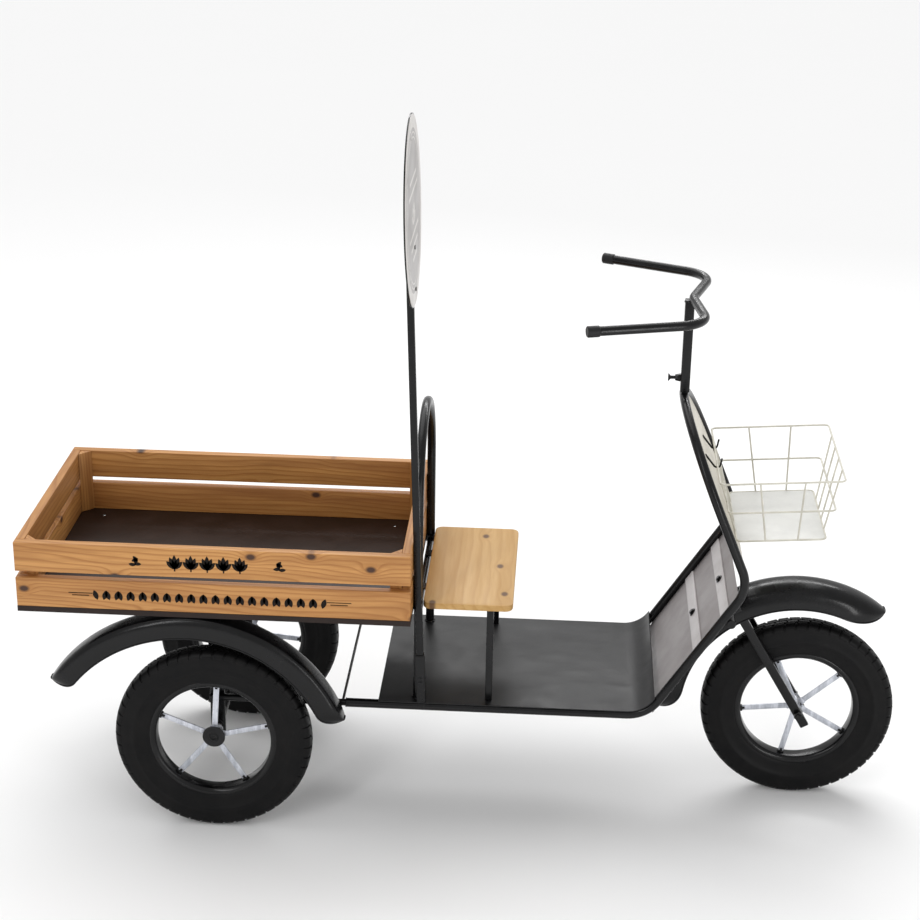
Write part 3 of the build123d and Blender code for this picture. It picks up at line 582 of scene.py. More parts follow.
def make_materials():
    """Fills MAT with every finish on the cart."""
    MAT["coat"] = powder_coat("Satin black powder coat", "#070708", "#101012", rough=(0.2, 0.34))
    MAT["deck"] = powder_coat("Black powder coated deck sheet", "#101011", "#1d1d1f",
                              rough=(0.32, 0.48), peel=0.1)
    MAT["tray"] = powder_coat("Dark brown painted tray", "#1e120d", "#2d1d16", rough=(0.42, 0.56))
    MAT["rim"] = powder_coat("Gloss black rim enamel", "#09090a", "#151516", rough=(0.18, 0.32))
    MAT["rubber"] = moulded_rubber("Moulded tyre rubber")
    MAT["plastic"] = moulded_plastic("Moulded black vinyl", "#101011")
    MAT["spoke"] = bare_metal("Zinc plated flat steel", "#dfe2ea", "#a3a7b0", rough=(0.34, 0.52),
                              metallic=0.6)
    MAT["zinc"] = bare_metal("Zinc plated fasteners", "#c6c8cc", "#7d7f85")
    MAT["inner"] = painted_sheet("Grey painted inner sheet", "#8d8888", "#7f7a7a")
    MAT["slat"] = painted_sheet("Pale grey painted strip", "#bcb8b8", "#a9a5a5", rough=(0.4, 0.5))
    MAT["cream"] = painted_sheet("Cream painted panel", "#dcd7ca", "#cbc5b8")
    MAT["ivory"] = painted_sheet("Ivory coated wire", "#cfccc0", "#b3b0a3", rough=(0.3, 0.42),
                                 smudge_mm=30)
    MAT["base"] = painted_sheet("Ivory coated base sheet", "#d3d3cf", "#c4c4c1", rough=(0.4, 0.5))
    MAT["sign"] = painted_sheet("Off-white sign enamel", "#d0ccc8", "#c0bbb6", rough=(0.3, 0.42))
    MAT["field"] = painted_sheet("Grey sign enamel", "#a39f9d", "#969290", rough=(0.32, 0.45))
    MAT["print"] = stencil_paint("Black stencil paint")
    MAT["crate"] = pine("Varnished crate pine", "#cc9555", "#ab7338", "#905a28", "#35180a")
    MAT["seat"] = pine("Clear varnished seat pine", "#cba468", "#ba9052", "#b08547", "#5b3a1c",
                       ring_mm=15.0)


# ----------------------------------------------------------------------- settings
class CartWheelSettings(bpy.types.PropertyGroup):
    blocks: bpy.props.IntProperty(
        name="Tread blocks", description="Shoulder blocks round each side of a tyre",
        default=52, min=12, max=90)
    block_gap: bpy.props.FloatProperty(
        name="Block gap", description="Groove between two shoulder blocks",
        default=0.0034, min=0.001, max=0.012, precision=4, unit="LENGTH")
    spokes: bpy.props.IntProperty(
        name="Spokes", description="Flat spokes in each wheel", default=5, min=3, max=12)


class CartBodySettings(bpy.types.PropertyGroup):
    ripple: bpy.props.FloatProperty(
        name="Deck ripple", description="Height of the dents in the deck sheet",
        default=0.0009, min=0.0, max=0.003, precision=4, unit="LENGTH")
    bead: bpy.props.FloatProperty(
        name="Rolled edge", description="Radius of a mudguard's rolled edge",
        default=0.0016, min=0.0005, max=0.004, precision=4, unit="LENGTH")


class CartPrintSettings(bpy.types.PropertyGroup):
    leaves: bpy.props.IntProperty(
        name="Leaves", description="Printed leaves along the lower crate board",
        default=38, min=4, max=60)
    lift: bpy.props.FloatProperty(
        name="Paint thickness", description="How far print stands off the wood",
        default=0.00025, min=0.00005, max=0.001, precision=5, unit="LENGTH")


class CartStageSettings(bpy.types.PropertyGroup):
    floor: bpy.props.FloatVectorProperty(
        name="Floor colour", description="Colour of the studio floor", subtype="COLOR", size=4,
        default=srgb("#f4f4f4"), min=0, max=1)
    ceiling: bpy.props.FloatProperty(
        name="Ceiling light", description="Strength of the even light from above",
        default=1.45, min=0.0)
    key: bpy.props.FloatProperty(
        name="Softboxes", description="Power of each strip softbox", subtype="POWER",
        default=24.0, min=0.0)


# ------------------------------------------------------------------------- wheels
TYRE = 175                       # outer radius
# each wheel's body, the angle of its first spoke, and the side that its dust cap is on
WHEELS = {"rear_right": ("rear_right_wheel", 14, -1), "rear_left": ("rear_left_wheel", 66, 1),
          "front": ("front_wheel", 42, 0)}
# half of the tyre's section from its inner edge to the middle of the tread: radius, offset
CARCASS = ((104.5, 12), (108.5, 14.6), (112.6, 15.4), (114.2, 17.0), (118, 17.8), (125, 18.9),
           (131, 20.0), (135.5, 21.5), (138.5, 23.2), (141.5, 23.4), (144, 22.3), (150, 22.2),
           (156, 21.8), (162, 21.0), (166.5, 19.4), (170.2, 15.8), (172.4, 9), (172.9, 0))
# top of a shoulder block, from the sidewall inwards
TREAD_TOP = ((164.0, 21.5), (167.2, 20.6), (170.2, 18.6), (172.7, 15.2), (174.0, 11.5),
             (174.6, 8.0))


def crown(y):
    """Tread radius at a distance y from the middle of the tyre."""
    return TYRE - 1.2 * (y / 12) ** 2


def tread_block(run, length, lean):
    """One raised tread block along the section points in run, standing at angle zero."""
    bm = bmesh.new()
    tops, floors = [], []
    for r, y in run:
        # the foot is a little longer than the top, and on the shoulder it lies further in
        for rows, drop, shrink in ((tops, 0, 0.7), (floors, 2.6, 0)):
            tuck = 0.35 * drop * (1 if y > 0 else -1) if abs(y) > 14 else 0
            row = []
            for side in (-1, 1):
                a = (side * (length / 2 - shrink) + lean * abs(y)) / TYRE
                row.append(bm.verts.new(((r - drop) * cos(a), y - tuck, (r - drop) * sin(a))))
            rows.append(row)
    for i in range(len(tops) - 1):
        bm.faces.new((tops[i][0], tops[i][1], tops[i + 1][1], tops[i + 1][0]))
        for k in (0, 1):
            bm.faces.new((tops[i][k], tops[i + 1][k], floors[i + 1][k], floors[i][k]))
    for top, low in ((tops[0], floors[0]), (tops[-1], floors[-1])):
        bm.faces.new((top[0], top[1], low[1], low[0]))
    return bm


class CART_OT_wheels(bpy.types.Operator):
    """Build the tyres with their tread, the rims, spokes, rivets, hubs and dust caps"""
    bl_idname = "cart.wheels"
    bl_label = "Wheels"

    def execute(self, context):
        settings = context.scene.cart_wheels
        ring_of = wheel_ring_tree()
        for wheel, (body, phase, side) in WHEELS.items():
            low, high = box_mm("tyre_" + wheel)
            centre = (low + high) / 2
            middle = tuple(centre * MM)

            def spread(bm, item, count, turn, finish="rubber"):
                """Copies the item round this wheel's axle."""
                grow_into(bm, ring_of, item, {"Count": count, "Phase": turn, "Centre": middle,
                                              "Finish": MAT[finish]})

            tyre = bmesh.new()
            outline = list(CARCASS) + [(r, -y) for r, y in reversed(CARCASS[:-1])]
            add_lathe(tyre, outline, centre, segments=144)
            pitch = 2 * pi / settings.blocks
            length = TYRE * pitch - settings.block_gap / MM
            for flip in (-1, 1):
                run = [(r, flip * y) for r, y in TREAD_TOP]
                spread(tyre, tread_block(run, length, 0.25), settings.blocks, pitch / 2 * (flip > 0))
            for flip in (-1, 1):
                run = [(crown(y), y) for y in (flip * 1.2, flip * 3.8, flip * 6.2)]
                spread(tyre, tread_block(run, length + 1.5, 0.5 * flip), settings.blocks,
                       pitch / 2 * (flip > 0))
            close(tyre, "tyre_" + wheel + "_rubber", MAT["rubber"], body, "tyre_rubber",
                  "tyre_" + wheel)

            rim = bmesh.new()
            hoop = [(112.4, 16.2), (113.4, 15.6), (113.2, 14.8), (109.4, 14.4), (105.2, 12.2),
                    (104.4, 11.4)]
            inner = [(102.0, 9.5), (102.6, 12.2), (105.2, 14.6), (107.8, 16.0), (110.6, 16.6)]
            add_lathe(rim, hoop + [(r, -y) for r, y in reversed(hoop)]
                      + [(r, -y) for r, y in reversed(inner)] + inner, centre, segments=144)
            close(rim, "rim_" + wheel + "_hoop", MAT["rim"], body, "rim_black", "rim_" + wheel)

            hub_low, hub_high = box_mm("hub_" + wheel)
            hub_r = (hub_high.x - hub_low.x) / 2
            bar = bmesh.new()
            add_block(bar, (hub_r - 0.5, -1.5, -5), (102.4, 1.5, 5), bevel=0.7)
            add_block(bar, (hub_r - 0.5, -2.2, -6.2), (hub_r + 7, 2.2, 6.2), bevel=1.0)
            spokes = bmesh.new()
            turn = -radians(phase)
            spread(spokes, bar, settings.spokes, turn, "spoke")
            close(spokes, "spokes_" + wheel + "_bars", MAT["spoke"], body, "spoke_silver",
                  "spokes_" + wheel)

            rivets = bmesh.new()
            clip = bmesh.new()
            add_block(clip, (98.2, -3.2, -6.0), (102.6, 3.2, 6.0), bevel=1.0)
            add_block(clip, (93.4, -2.6, -2.4), (99, 2.6, 2.4), bevel=1.2)
            spread(rivets, clip, settings.spokes, turn, "rim")
            close(rivets, "spoke_feet_" + wheel, MAT["rim"], body, "rim_black")

            hub = bmesh.new()
            a, b = hub_low.y - centre.y, hub_high.y - centre.y
            waist = hub_r - 2.0
            add_lathe(hub, [(5.05, a), (hub_r - 0.8, a), (hub_r, a + 0.8), (hub_r, a + 4),
                            (waist, a + 6), (waist, b - 6), (hub_r, b - 4), (hub_r, b - 0.8),
                            (hub_r - 0.8, b), (5.05, b)], centre, segments=48)
            close(hub, "hub_" + wheel + "_shell", MAT["zinc"], body, "zinc_steel", "hub_" + wheel)
            if side:
                self.dust_cap(centre, side, body)
        return {"FINISHED"}

    def dust_cap(self, centre, side, body):
        """Moulded disc with a raised rim, and a raised ring round a small round dish in its middle."""
        name = "hub_cap_" + ("right" if side < 0 else "left")
        cap = bmesh.new()
        face = [(0.01, 3.0), (19.2, 3.0), (20, 3.8), (20, 6.2), (19, 7.2), (17.4, 7.4), (16.2, 6.6),
                (9, 6.4), (8, 7.4), (7, 9.0), (5.4, 9.4), (4.6, 8.6), (4.2, 7.0), (0.01, 7.0)]
        add_lathe(cap, [(r, side * y) for r, y in face], centre, segments=64)
        close(cap, name + "_disc", MAT["plastic"], body, "black_plastic", name)


# --------------------------------------------------------------------- mudguards
def add_mudguard(bm, middle, radius, half, drop, first, last, square, tips, bead):
    """A channel bent round an arc about the Y axis, from the first angle to the last.

    half and drop are the section's half width and depth, square is how boxy it is (2 is an
    ellipse), tips are the lengths over which the two ends round off, and bead is the radius
    of the rolled edge.
    """
    wall, steps, across = 1.5, 96, 20
    outer, inner = [], []
    for i in range(steps + 1):
        # points crowd towards both ends, where the tips are rounded
        t = 0.5 - 0.5 * cos(pi * i / steps)
        angle = radians(first + (last - first) * t)
        from_end = min(abs(angle - radians(first)), abs(radians(last) - angle)) * radius
        tip = tips[0] if t < 0.5 else tips[1]
        s = min(1.0, from_end / tip)
        full = sqrt(max(0.0, 1 - (1 - s) ** 2))
        wide, deep = half * (0.30 + 0.70 * full), drop * (0.10 + 0.90 * full)
        rows = ([], [])
        for k in range(across + 1):
            q = pi * k / across
            c, v = cos(q), sin(q)
            y = -wide * (abs(c) ** (2 / square)) * (1 if c > 0 else -1)
            rise = deep * (v ** (2 / square))
            for row, thin in ((rows[0], 0.0), (rows[1], wall)):
                r = radius - deep + rise - thin * v
                yy = y + thin * abs(c) * (1 if c > 0 else -1)
                row.append(bm.verts.new((middle[0] + r * cos(angle), middle[1] + yy,
                                         middle[2] + r * sin(angle))))
        outer.append(rows[0])
        inner.append(rows[1])
    for grid, flip in ((outer, False), (inner, True)):
        for a, b in zip(grid, grid[1:]):
            for k in range(across):
                face = (a[k], a[k + 1], b[k + 1], b[k])
                bm.faces.new(tuple(reversed(face)) if flip else face)
    for a, b, c, d in zip(outer, outer[1:], inner, inner[1:]):
        for k in (0, across):
            bm.faces.new((a[k], b[k], d[k], c[k]))
    for o, n in ((outer[0], inner[0]), (outer[-1], inner[-1])):
        for k in range(across):
            bm.faces.new((o[k], o[k + 1], n[k + 1], n[k]))
    edge = ([row[0].co.copy() for row in outer] + [v.co.copy() for v in outer[-1][1:-1]]
            + [row[-1].co.copy() for row in reversed(outer)]
            + [v.co.copy() for v in reversed(outer[0][1:-1])])
    add_tube(bm, edge, bead, sides=8, closed=True)


class CART_OT_mudguards(bpy.types.Operator):
    """Build the front mudguard and the two rear ones with rolled edges"""
    bl_idname = "cart.mudguards"
    bl_label = "Mudguards"

    def execute(self, context):
        bead = context.scene.cart_body.bead / MM
        front = bmesh.new()
        add_mudguard(front, middle=(590, 0, 183), radius=247.8, half=40, drop=42, first=52,
                     last=183, square=2.6, tips=(70, 55), bead=bead)
        coat(front, "front_mudguard", "front_fender")
        for name, side in (("rear_fender_right", -1), ("rear_fender_left", 1)):
            rear = bmesh.new()
            add_mudguard(rear, middle=(-484, side * 202, 126), radius=289.6, half=26.2, drop=37,
                         first=19.6, last=147.4, square=4.5, tips=(34, 30), bead=bead)
            close(rear, name.replace("fender", "mudguard"), MAT["coat"], "chassis",
                  "black_powder_coat", name)
        return {"FINISHED"}


# ----------------------------------------------------------------------- chassis
def loop_points():
    """Centre line of the main tube, from one rear end over the arch to the other."""
    knee_run = ((SPRING.x - BEND_X) * UP_HIGH.z - (SPRING.z - RAIL_Z) * UP_HIGH.x) / (
        UP_LOW.x * UP_HIGH.z - UP_LOW.z * UP_HIGH.x)
    knee = Vector((BEND_X, 0, RAIL_Z)) + knee_run * UP_LOW
    near = rounded_path([(JOINT_X, -RAIL_Y, RAIL_Z), (BEND_X, -RAIL_Y, RAIL_Z),
                         (knee.x, -RAIL_Y, knee.z), (SPRING.x, -RAIL_Y, SPRING.z)],
                        (BEND, BEND))
    steps = 40
    over = [SPRING + Vector((0, -ARCH * cos(a), 0)) + UP_HIGH * (ARCH * sin(a))
            for a in (pi * i / steps for i in range(1, steps))]
    far = [Vector((p.x, -p.y, p.z)) for p in reversed(near)]
    return near + over + far


class CART_OT_chassis(bpy.types.Operator):
    """Build the main loop, the rear rails, the axle, its uprights and the welds"""
    bl_idname = "cart.chassis"
    bl_label = "Chassis"

    def execute(self, context):
        loop = bmesh.new()
        add_tube(loop, loop_points(), TUBE, sides=28, bore=TUBE - 1.5)
        coat(loop, "main_loop_tube", "deck_tubes", "shield_loop")
        rails = bmesh.new()
        for side in (-1, 1):
            # the rails run 44 mm inside the deck tubes
            line = [Vector((x, side * RAIL_Y, RAIL_Z)) for x in (-456, -400, -250, JOINT_X + 44)]
            add_tube(rails, line, THIN_TUBE, sides=24)
        coat(rails, "rear_rail_tubes", "rear_rails")
        low, high = box_mm("rear_axle")
        x, z = (low.x + high.x) / 2, (low.z + high.z) / 2
        axle = bmesh.new()
        # the stubs that the wheels turn on are thinner than the bar between its shoulders
        shoulder, end = 176, high.y
        add_lathe(axle, [(0.01, -end), (4.2, -end), (5, -end + 0.8), (5, -shoulder),
                         (7.4, -shoulder), (8, -shoulder + 0.6), (8, shoulder - 0.6),
                         (7.4, shoulder), (5, shoulder), (5, end - 0.8), (4.2, end), (0.01, end)],
                  (x, 0, z), segments=40)
        coat(axle, "rear_axle_bar", "rear_axle")
        posts = bmesh.new()
        low, high = box_mm("rear_uprights")
        for side in (-1, 1):
            y = sorted(side * edge for edge in UPRIGHT_Y)
            add_block(posts, (low.x, y[0], low.z), (high.x, y[1], high.z), bevel=0.8)
        coat(posts, "axle_uprights", "rear_uprights")
        bars = bmesh.new()
        for bx, bz, r in ((-110, 235, 6.0), (190, 235, 6.0), (-219, RAIL_Z, 2.5)):
            reach = RAIL_Y - 4
            add_tube(bars, [Vector((bx, y, bz)) for y in (-reach, 0, reach)], r, sides=20)
        coat(bars, "deck_cross_bars", "cross_bars")
        cross = bmesh.new()
        low, high = box_mm("shield_cross_tube")
        x, z = (low.x + high.x) / 2, (low.z + high.z) / 2
        reach = RAIL_Y + 3
        add_tube(cross, [Vector((x, y, z)) for y in (-reach, 0, reach)], TUBE)
        coat(cross, "shield_cross_bar", "shield_cross_tube")
        welds = bmesh.new()
        for side in (-1, 1):
            add_weld(welds, (JOINT_X, side * RAIL_Y, RAIL_Z), THIN_TUBE + 0.8, (-1, 0, 0), side)
            add_weld(welds, (HOOP_X, side * HOOP_Y, DECK_Z), TUBE + 0.8, (0, 0, 1), 4 + side)
            for edge, way, seed in ((UPRIGHT_Y[1] + 1, 1, 9), (UPRIGHT_Y[0] - 1, -1, 13)):
                add_weld(welds, (UPRIGHT_X, side * edge, AXLE_Z), TUBE + 0.6, (0, way * side, 0),
                         seed + side)
        coat(welds, "frame_welds")
        return {"FINISHED"}


# --------------------------------------------------------------- deck and shield
def low_shield(along, off):
    """Point on the lower shield's side view: along it, and off towards the rider."""
    return Vector((BEND_X + along * UP_LOW.x - off * UP_LOW.z, 0,
                   RAIL_Z + along * UP_LOW.z + off * UP_LOW.x))


class CART_OT_deck(bpy.types.Operator):
    """Build the deck sheet, bent up at the front and slightly dented"""
    bl_idname = "cart.deck"
    bl_label = "Deck sheet"

    def execute(self, context):
        ripple = context.scene.cart_body.ripple / MM
        low, high = box_mm("deck_sheet")
        over_tube = 9.1                # the sheet's middle lies this far off the tubes' centre
        path = rounded_path([(low.x, 0, DECK_Z - 1), low_shield(4.87, over_tube),
                             low_shield(37, over_tube)], (BEND - over_tube,))
        line = []
        for a, b in zip(path, path[1:]):
            pieces = max(1, round((b - a).length / 8))
            line += [a.lerp(b, i / pieces) for i in range(pieces)]
        line.append(path[-1])
        across = 46
        bm = bmesh.new()
        grid = {1: [], -1: []}
        for i, p in enumerate(line):
            ahead = line[min(i + 1, len(line) - 1)] - line[max(i - 1, 0)]
            out = Vector((-ahead.z, 0, ahead.x)).normalized()
            for face in (1, -1):
                row = []
                for k in range(across + 1):
                    y = low.y + (high.y - low.y) * k / across
                    edge = min(1.0, (high.y - abs(y)) / 45)
                    ends = min(1.0, (p.x - low.x) / 8 + 0.35)
                    wave = noise.fractal(Vector((p.x / 130, y / 85, 2.5)), 1.0, 2.0, 3)
                    # the sheet puckers a little where it is pulled round the bend
                    by_bend = max(0, 1 - abs(p.x - 262) / 60)
                    pucker = noise.noise(Vector((p.x / 60, y / 16, 7))) * by_bend
                    lift = (ripple * wave + 0.5 * pucker) * edge * ends - 0.25
                    off = face * 0.85 + min(lift, 0.1)
                    row.append(bm.verts.new(Vector((p.x, y, p.z)) + out * off))
                grid[face].append(row)
        for face, rows in grid.items():
            for a, b in zip(rows, rows[1:]):
                for k in range(across):
                    bm.faces.new((a[k], a[k + 1], b[k + 1], b[k]))
        top, under = grid[1], grid[-1]
        for k in (0, across):
            for i in range(len(line) - 1):
                bm.faces.new((top[i][k], top[i + 1][k], under[i + 1][k], under[i][k]))
        for i in (0, -1):
            for k in range(across):
                bm.faces.new((top[i][k], top[i][k + 1], under[i][k + 1], under[i][k]))
        close(bm, "deck_sheet_bent", MAT["deck"], "chassis", "black_powder_coat", "deck_sheet")
        return {"FINISHED"}


class CART_OT_shield(bpy.types.Operator):
    """Build the inner sheet, its slats and bolts, and the cream front panel"""
    bl_idname = "cart.shield"
    bl_label = "Leg shield"

    def execute(self, context):
        side = Vector((0, 1, 0))
        face = side.cross(UP_LOW)                      # away from the rider
        half = RAIL_Y - TUBE                           # between the tubes
        first, last, tuck = 8, 266, 4.5                # the sheet runs a little behind them
        sheet = bmesh.new()
        add_plate(sheet, rounded_outline(2 * (half + tuck), last - first, 3), 1.5,
                  low_shield((first + last) / 2, -6.5), side, UP_LOW, 0.4)
        close(sheet, "shield_inner_sheet", MAT["inner"], "chassis", "grey_sheet", "shield_sheet")
        slats = bmesh.new()
        for along in SLATS_ALONG:
            add_plate(slats, rounded_outline(2 * half, 24, 2), 3.0, low_shield(along, -3.5), side,
                      UP_LOW, 0.9)
        close(slats, "shield_cross_slats", MAT["slat"], "chassis", "grey_slat", "shield_slats")
        bolts = bmesh.new()
        for along in SLATS_ALONG:
            head = low_shield(along, -3.6)
            add_tube(bolts, [head, head - face * 1.6, head - face * 2.2], 7.4, sides=28, soft=0.5)
            add_tube(bolts, [head - face * 2, head - face * 4, head - face * 5.4], 5.4, sides=28,
                     soft=1.6)
            add_tube(bolts, [head, head + face * 12, head + face * 20], 2.5, sides=16)
        coat(bolts, "shield_bolt_heads", "shield_bolts")
        panel = bmesh.new()
        ahead = Vector((UP_HIGH.z, 0, -UP_HIGH.x))
        radius, drop, steps = ARCH - TUBE - 0.2, 120, 48
        outline = [(-radius, -drop), (radius, -drop)]
        outline += [(radius * cos(pi * i / steps), radius * sin(pi * i / steps))
                    for i in range(steps + 1)]
        add_plate(panel, outline, 1.4, SPRING + ahead * 0.7, side, UP_HIGH, 0.3)
        close(panel, "front_panel_sheet", MAT["cream"], "chassis", "cream_panel", "front_panel")
        return {"FINISHED"}


class CART_OT_fork(bpy.types.Operator):
    """Build the fork's two blades and the axle with its nuts"""
    bl_idname = "cart.fork"
    bl_label = "Fork"

    def execute(self, context):
        top = low_shield(SLATS_ALONG[1], -16)
        low, high = box_mm("front_axle")
        axle_at = Vector(((low.x + high.x) / 2, 0, (low.z + high.z) / 2))
        run = axle_at - top
        turn = Matrix.Rotation(atan2(run.x, run.z), 4, "Y")
        blades = bmesh.new()
        way = run.normalized()
        length = run.length + 22
        for side in (-33, 33):
            middle = top + way * (6 + length / 2) + Vector((0, side, 0))
            size = Vector((8, 5, length / 2))
            add_block(blades, middle - size, middle + size, bevel=1.6, segments=3, turn=turn)
        coat(blades, "fork_blades", "fork")
        axle = bmesh.new()
        add_tube(axle, [axle_at + Vector((0, y, 0)) for y in (-48, 0, 48)], 5, sides=24, soft=1)
        for side in (-1, 1):
            add_nut(axle, (8.4, 8.4), 6, 0.6, Matrix.Rotation(pi / 2, 3, "X"),
                    axle_at + Vector((0, side * 41.2, 0)))
        close(axle, "front_axle_and_nuts", MAT["coat"], "chassis", "zinc_steel", "front_axle")
        return {"FINISHED"}


# --------------------------------------------------------------------- the crate
def leaf(length, width, steps=7):
    """Outline of a pointed leaf standing on its stalk."""
    rim = [(width / 2 * sin(pi * i / steps) ** 0.8, length * i / steps) for i in range(steps + 1)]
    return rim + [(-x, y) for x, y in reversed(rim[1:-1])]


def turned(outline, angle, shift):
    """The outline turned about its origin and then moved."""
    c, s = cos(angle), sin(angle)
    return [(x * c - y * s + shift[0], x * s + y * c + shift[1]) for x, y in outline]


class CART_OT_crate(bpy.types.Operator):
    """Build the crate's boards and corner posts, and the printed leaves"""
    bl_idname = "cart.crate"
    bl_label = "Crate"

    def execute(self, context):
        seed = 1
        for node in ("crate_side_right", "crate_side_left", "crate_end_rear", "crate_end_front"):
            low, high = box_mm(node)
            along = "X" if high.x - low.x > high.y - low.y else "Y"
            boards = []
            planks = bmesh.new()
            for base in (low.z, low.z + BOARD_STEP):
                corners = (low.x, low.y, base), (high.x, high.y, base + BOARD)
                add_block(planks, *corners, bevel=1.3, segments=3)
                boards.append((*corners, along, seed))
                seed += 1
            piece = close(planks, node + "_boards", MAT["crate"], "chassis", "crate_wood", node)
            mark_grain(piece, boards)
        low, high = box_mm("corner_posts")
        posts = bmesh.new()
        boards = []
        leg = 21                                     # short sides of a post's triangle
        for i in (-1, 1):
            for j in (-1, 1):
                cx = high.x if i > 0 else low.x
                cy = high.y if j > 0 else low.y
                corner = [(cx - i * 0.4, cy - j * 0.4), (cx - i * leg, cy - j * 0.4),
                          (cx - i * 0.4, cy - j * leg)]
                add_plate(posts, corner if i * j > 0 else list(reversed(corner)), high.z - low.z - 1,
                          (0, 0, low.z + 0.3), (1, 0, 0), (0, 1, 0), 1.2)
                x = sorted((cx, cx - i * leg))
                y = sorted((cy, cy - j * leg))
                boards.append(((x[0], y[0], low.z), (x[1], y[1], high.z), "Z", seed))
                seed += 1
        piece = close(posts, "corner_posts_pine", MAT["crate"], "chassis", "crate_wood",
                      "corner_posts")
        mark_grain(piece, boards)
        self.print_leaves(context.scene.cart_print)
        return {"FINISHED"}

    def print_leaves(self, settings):
        """Black leaves and dashes along the crate's right side, in place of words."""
        low, _ = box_mm("crate_side_right")
        lift = settings.lift / MM
        origin = (0, low.y - lift, 0)
        x_axis, z_axis = (1, 0, 0), (0, 0, 1)
        lower = low.z + BOARD / 2
        upper = lower + BOARD_STEP
        paint = bmesh.new()

        def stamp(outline):
            add_plate(paint, list(reversed(outline)), -lift * 0.9, origin, x_axis, z_axis)

        centre = low.x + 333
        for i in range(5):                          # five upright sprays, each on its stalk
            at = centre + (i - 2) * 28
            for lean in (-0.75, -0.35, 0.0, 0.35, 0.75):
                stamp(turned(leaf(27 - 9 * abs(lean), 8.5), lean, (at, upper - 12)))
            stamp([(at - 1.2, upper - 16), (at + 1.2, upper - 16), (at + 1.2, upper - 10),
                   (at - 1.2, upper - 10)])
        for side in (-1, 1):                        # a loose sprig on each side
            at = centre + side * 124
            for k, lean in enumerate((-1.5, -0.7, 0.3, 1.1, 1.7)):
                stamp(turned(leaf(13, 6.5), lean * side, (at + side * (k - 2) * 5.5,
                                                          upper - 5 + (k % 2) * 5)))
        start_x, stop_x = low.x + 141, low.x + 529
        row = row_tree()
        step = (stop_x - start_x) / (settings.leaves - 1)
        for lean, phase in ((0.3, 0), (-0.3, 1)):
            item = bmesh.new()
            add_plate(item, list(reversed(turned(leaf(19, 9), lean, (0, -9.5)))),
                      -lift * 0.9, (0, 0, 0), x_axis, z_axis)
            grow_into(paint, row, item, {
                "Count": settings.leaves // 2, "Finish": MAT["print"],
                "Start": tuple(Vector((start_x + phase * step, origin[1], lower)) * MM),
                "Step": (2 * step * MM, 0, 0)})
        for at in (low.x + 112, low.x + 558):
            for wide, rise in ((42, 1.8), (30, -2.6)):
                stamp([(at - wide / 2, lower + rise), (at + wide / 2, lower + rise),
                       (at + wide / 2, lower + rise + 1.5), (at - wide / 2, lower + rise + 1.5)])
        close(paint, "crate_leaf_print", MAT["print"], "chassis", "crate_wood")


# ------------------------------------------------------------------ seat and sign
class CART_OT_seat(bpy.types.Operator):
    """Build the back hoop, the seat board and its front frame"""
    bl_idname = "cart.seat"
    bl_label = "Seat and hoop"

    def execute(self, context):
        low, high = box_mm("back_hoop")
        x, reach = (low.x + high.x) / 2, high.y - TUBE
        spring = high.z - TUBE - reach
        steps = 48
        line = [Vector((x, -reach, z)) for z in (low.z, (low.z + spring) / 2)]
        line += [Vector((x, -reach * cos(pi * i / steps), spring + reach * sin(pi * i / steps)))
                 for i in range(steps + 1)]
        line += [Vector((x, reach, z)) for z in ((low.z + spring) / 2, low.z)]
        hoop = bmesh.new()
        add_tube(hoop, line, TUBE, sides=28)
        coat(hoop, "back_hoop_tube", "back_hoop")

        low, high = box_mm("seat_board")
        middle = (low + high) / 2
        outline = rounded_outline(high.x - low.x, high.y - low.y, 14)
        board = bmesh.new()
        add_plate(board, outline, high.z - low.z, (middle.x, middle.y, low.z), (1, 0, 0), (0, 1, 0),
                  2.4)
        piece = close(board, "seat_board_pine", MAT["seat"], "chassis", "seat_wood", "seat_board")
        mark_grain(piece, [(low, high, "TOP", 3)])

        low, high = box_mm("seat_front_frame")
        legs = bmesh.new()
        bar = 12                                     # square section
        for y in (low.y, high.y - bar):
            add_block(legs, (low.x, y, low.z), (high.x, y + bar, high.z), bevel=1.4, segments=3)
        add_block(legs, (low.x, low.y + bar - 1, high.z - bar),
                  (high.x, high.y - bar + 1, high.z), bevel=1.4, segments=3)
        coat(legs, "seat_front_legs", "seat_front_frame")
        return {"FINISHED"}


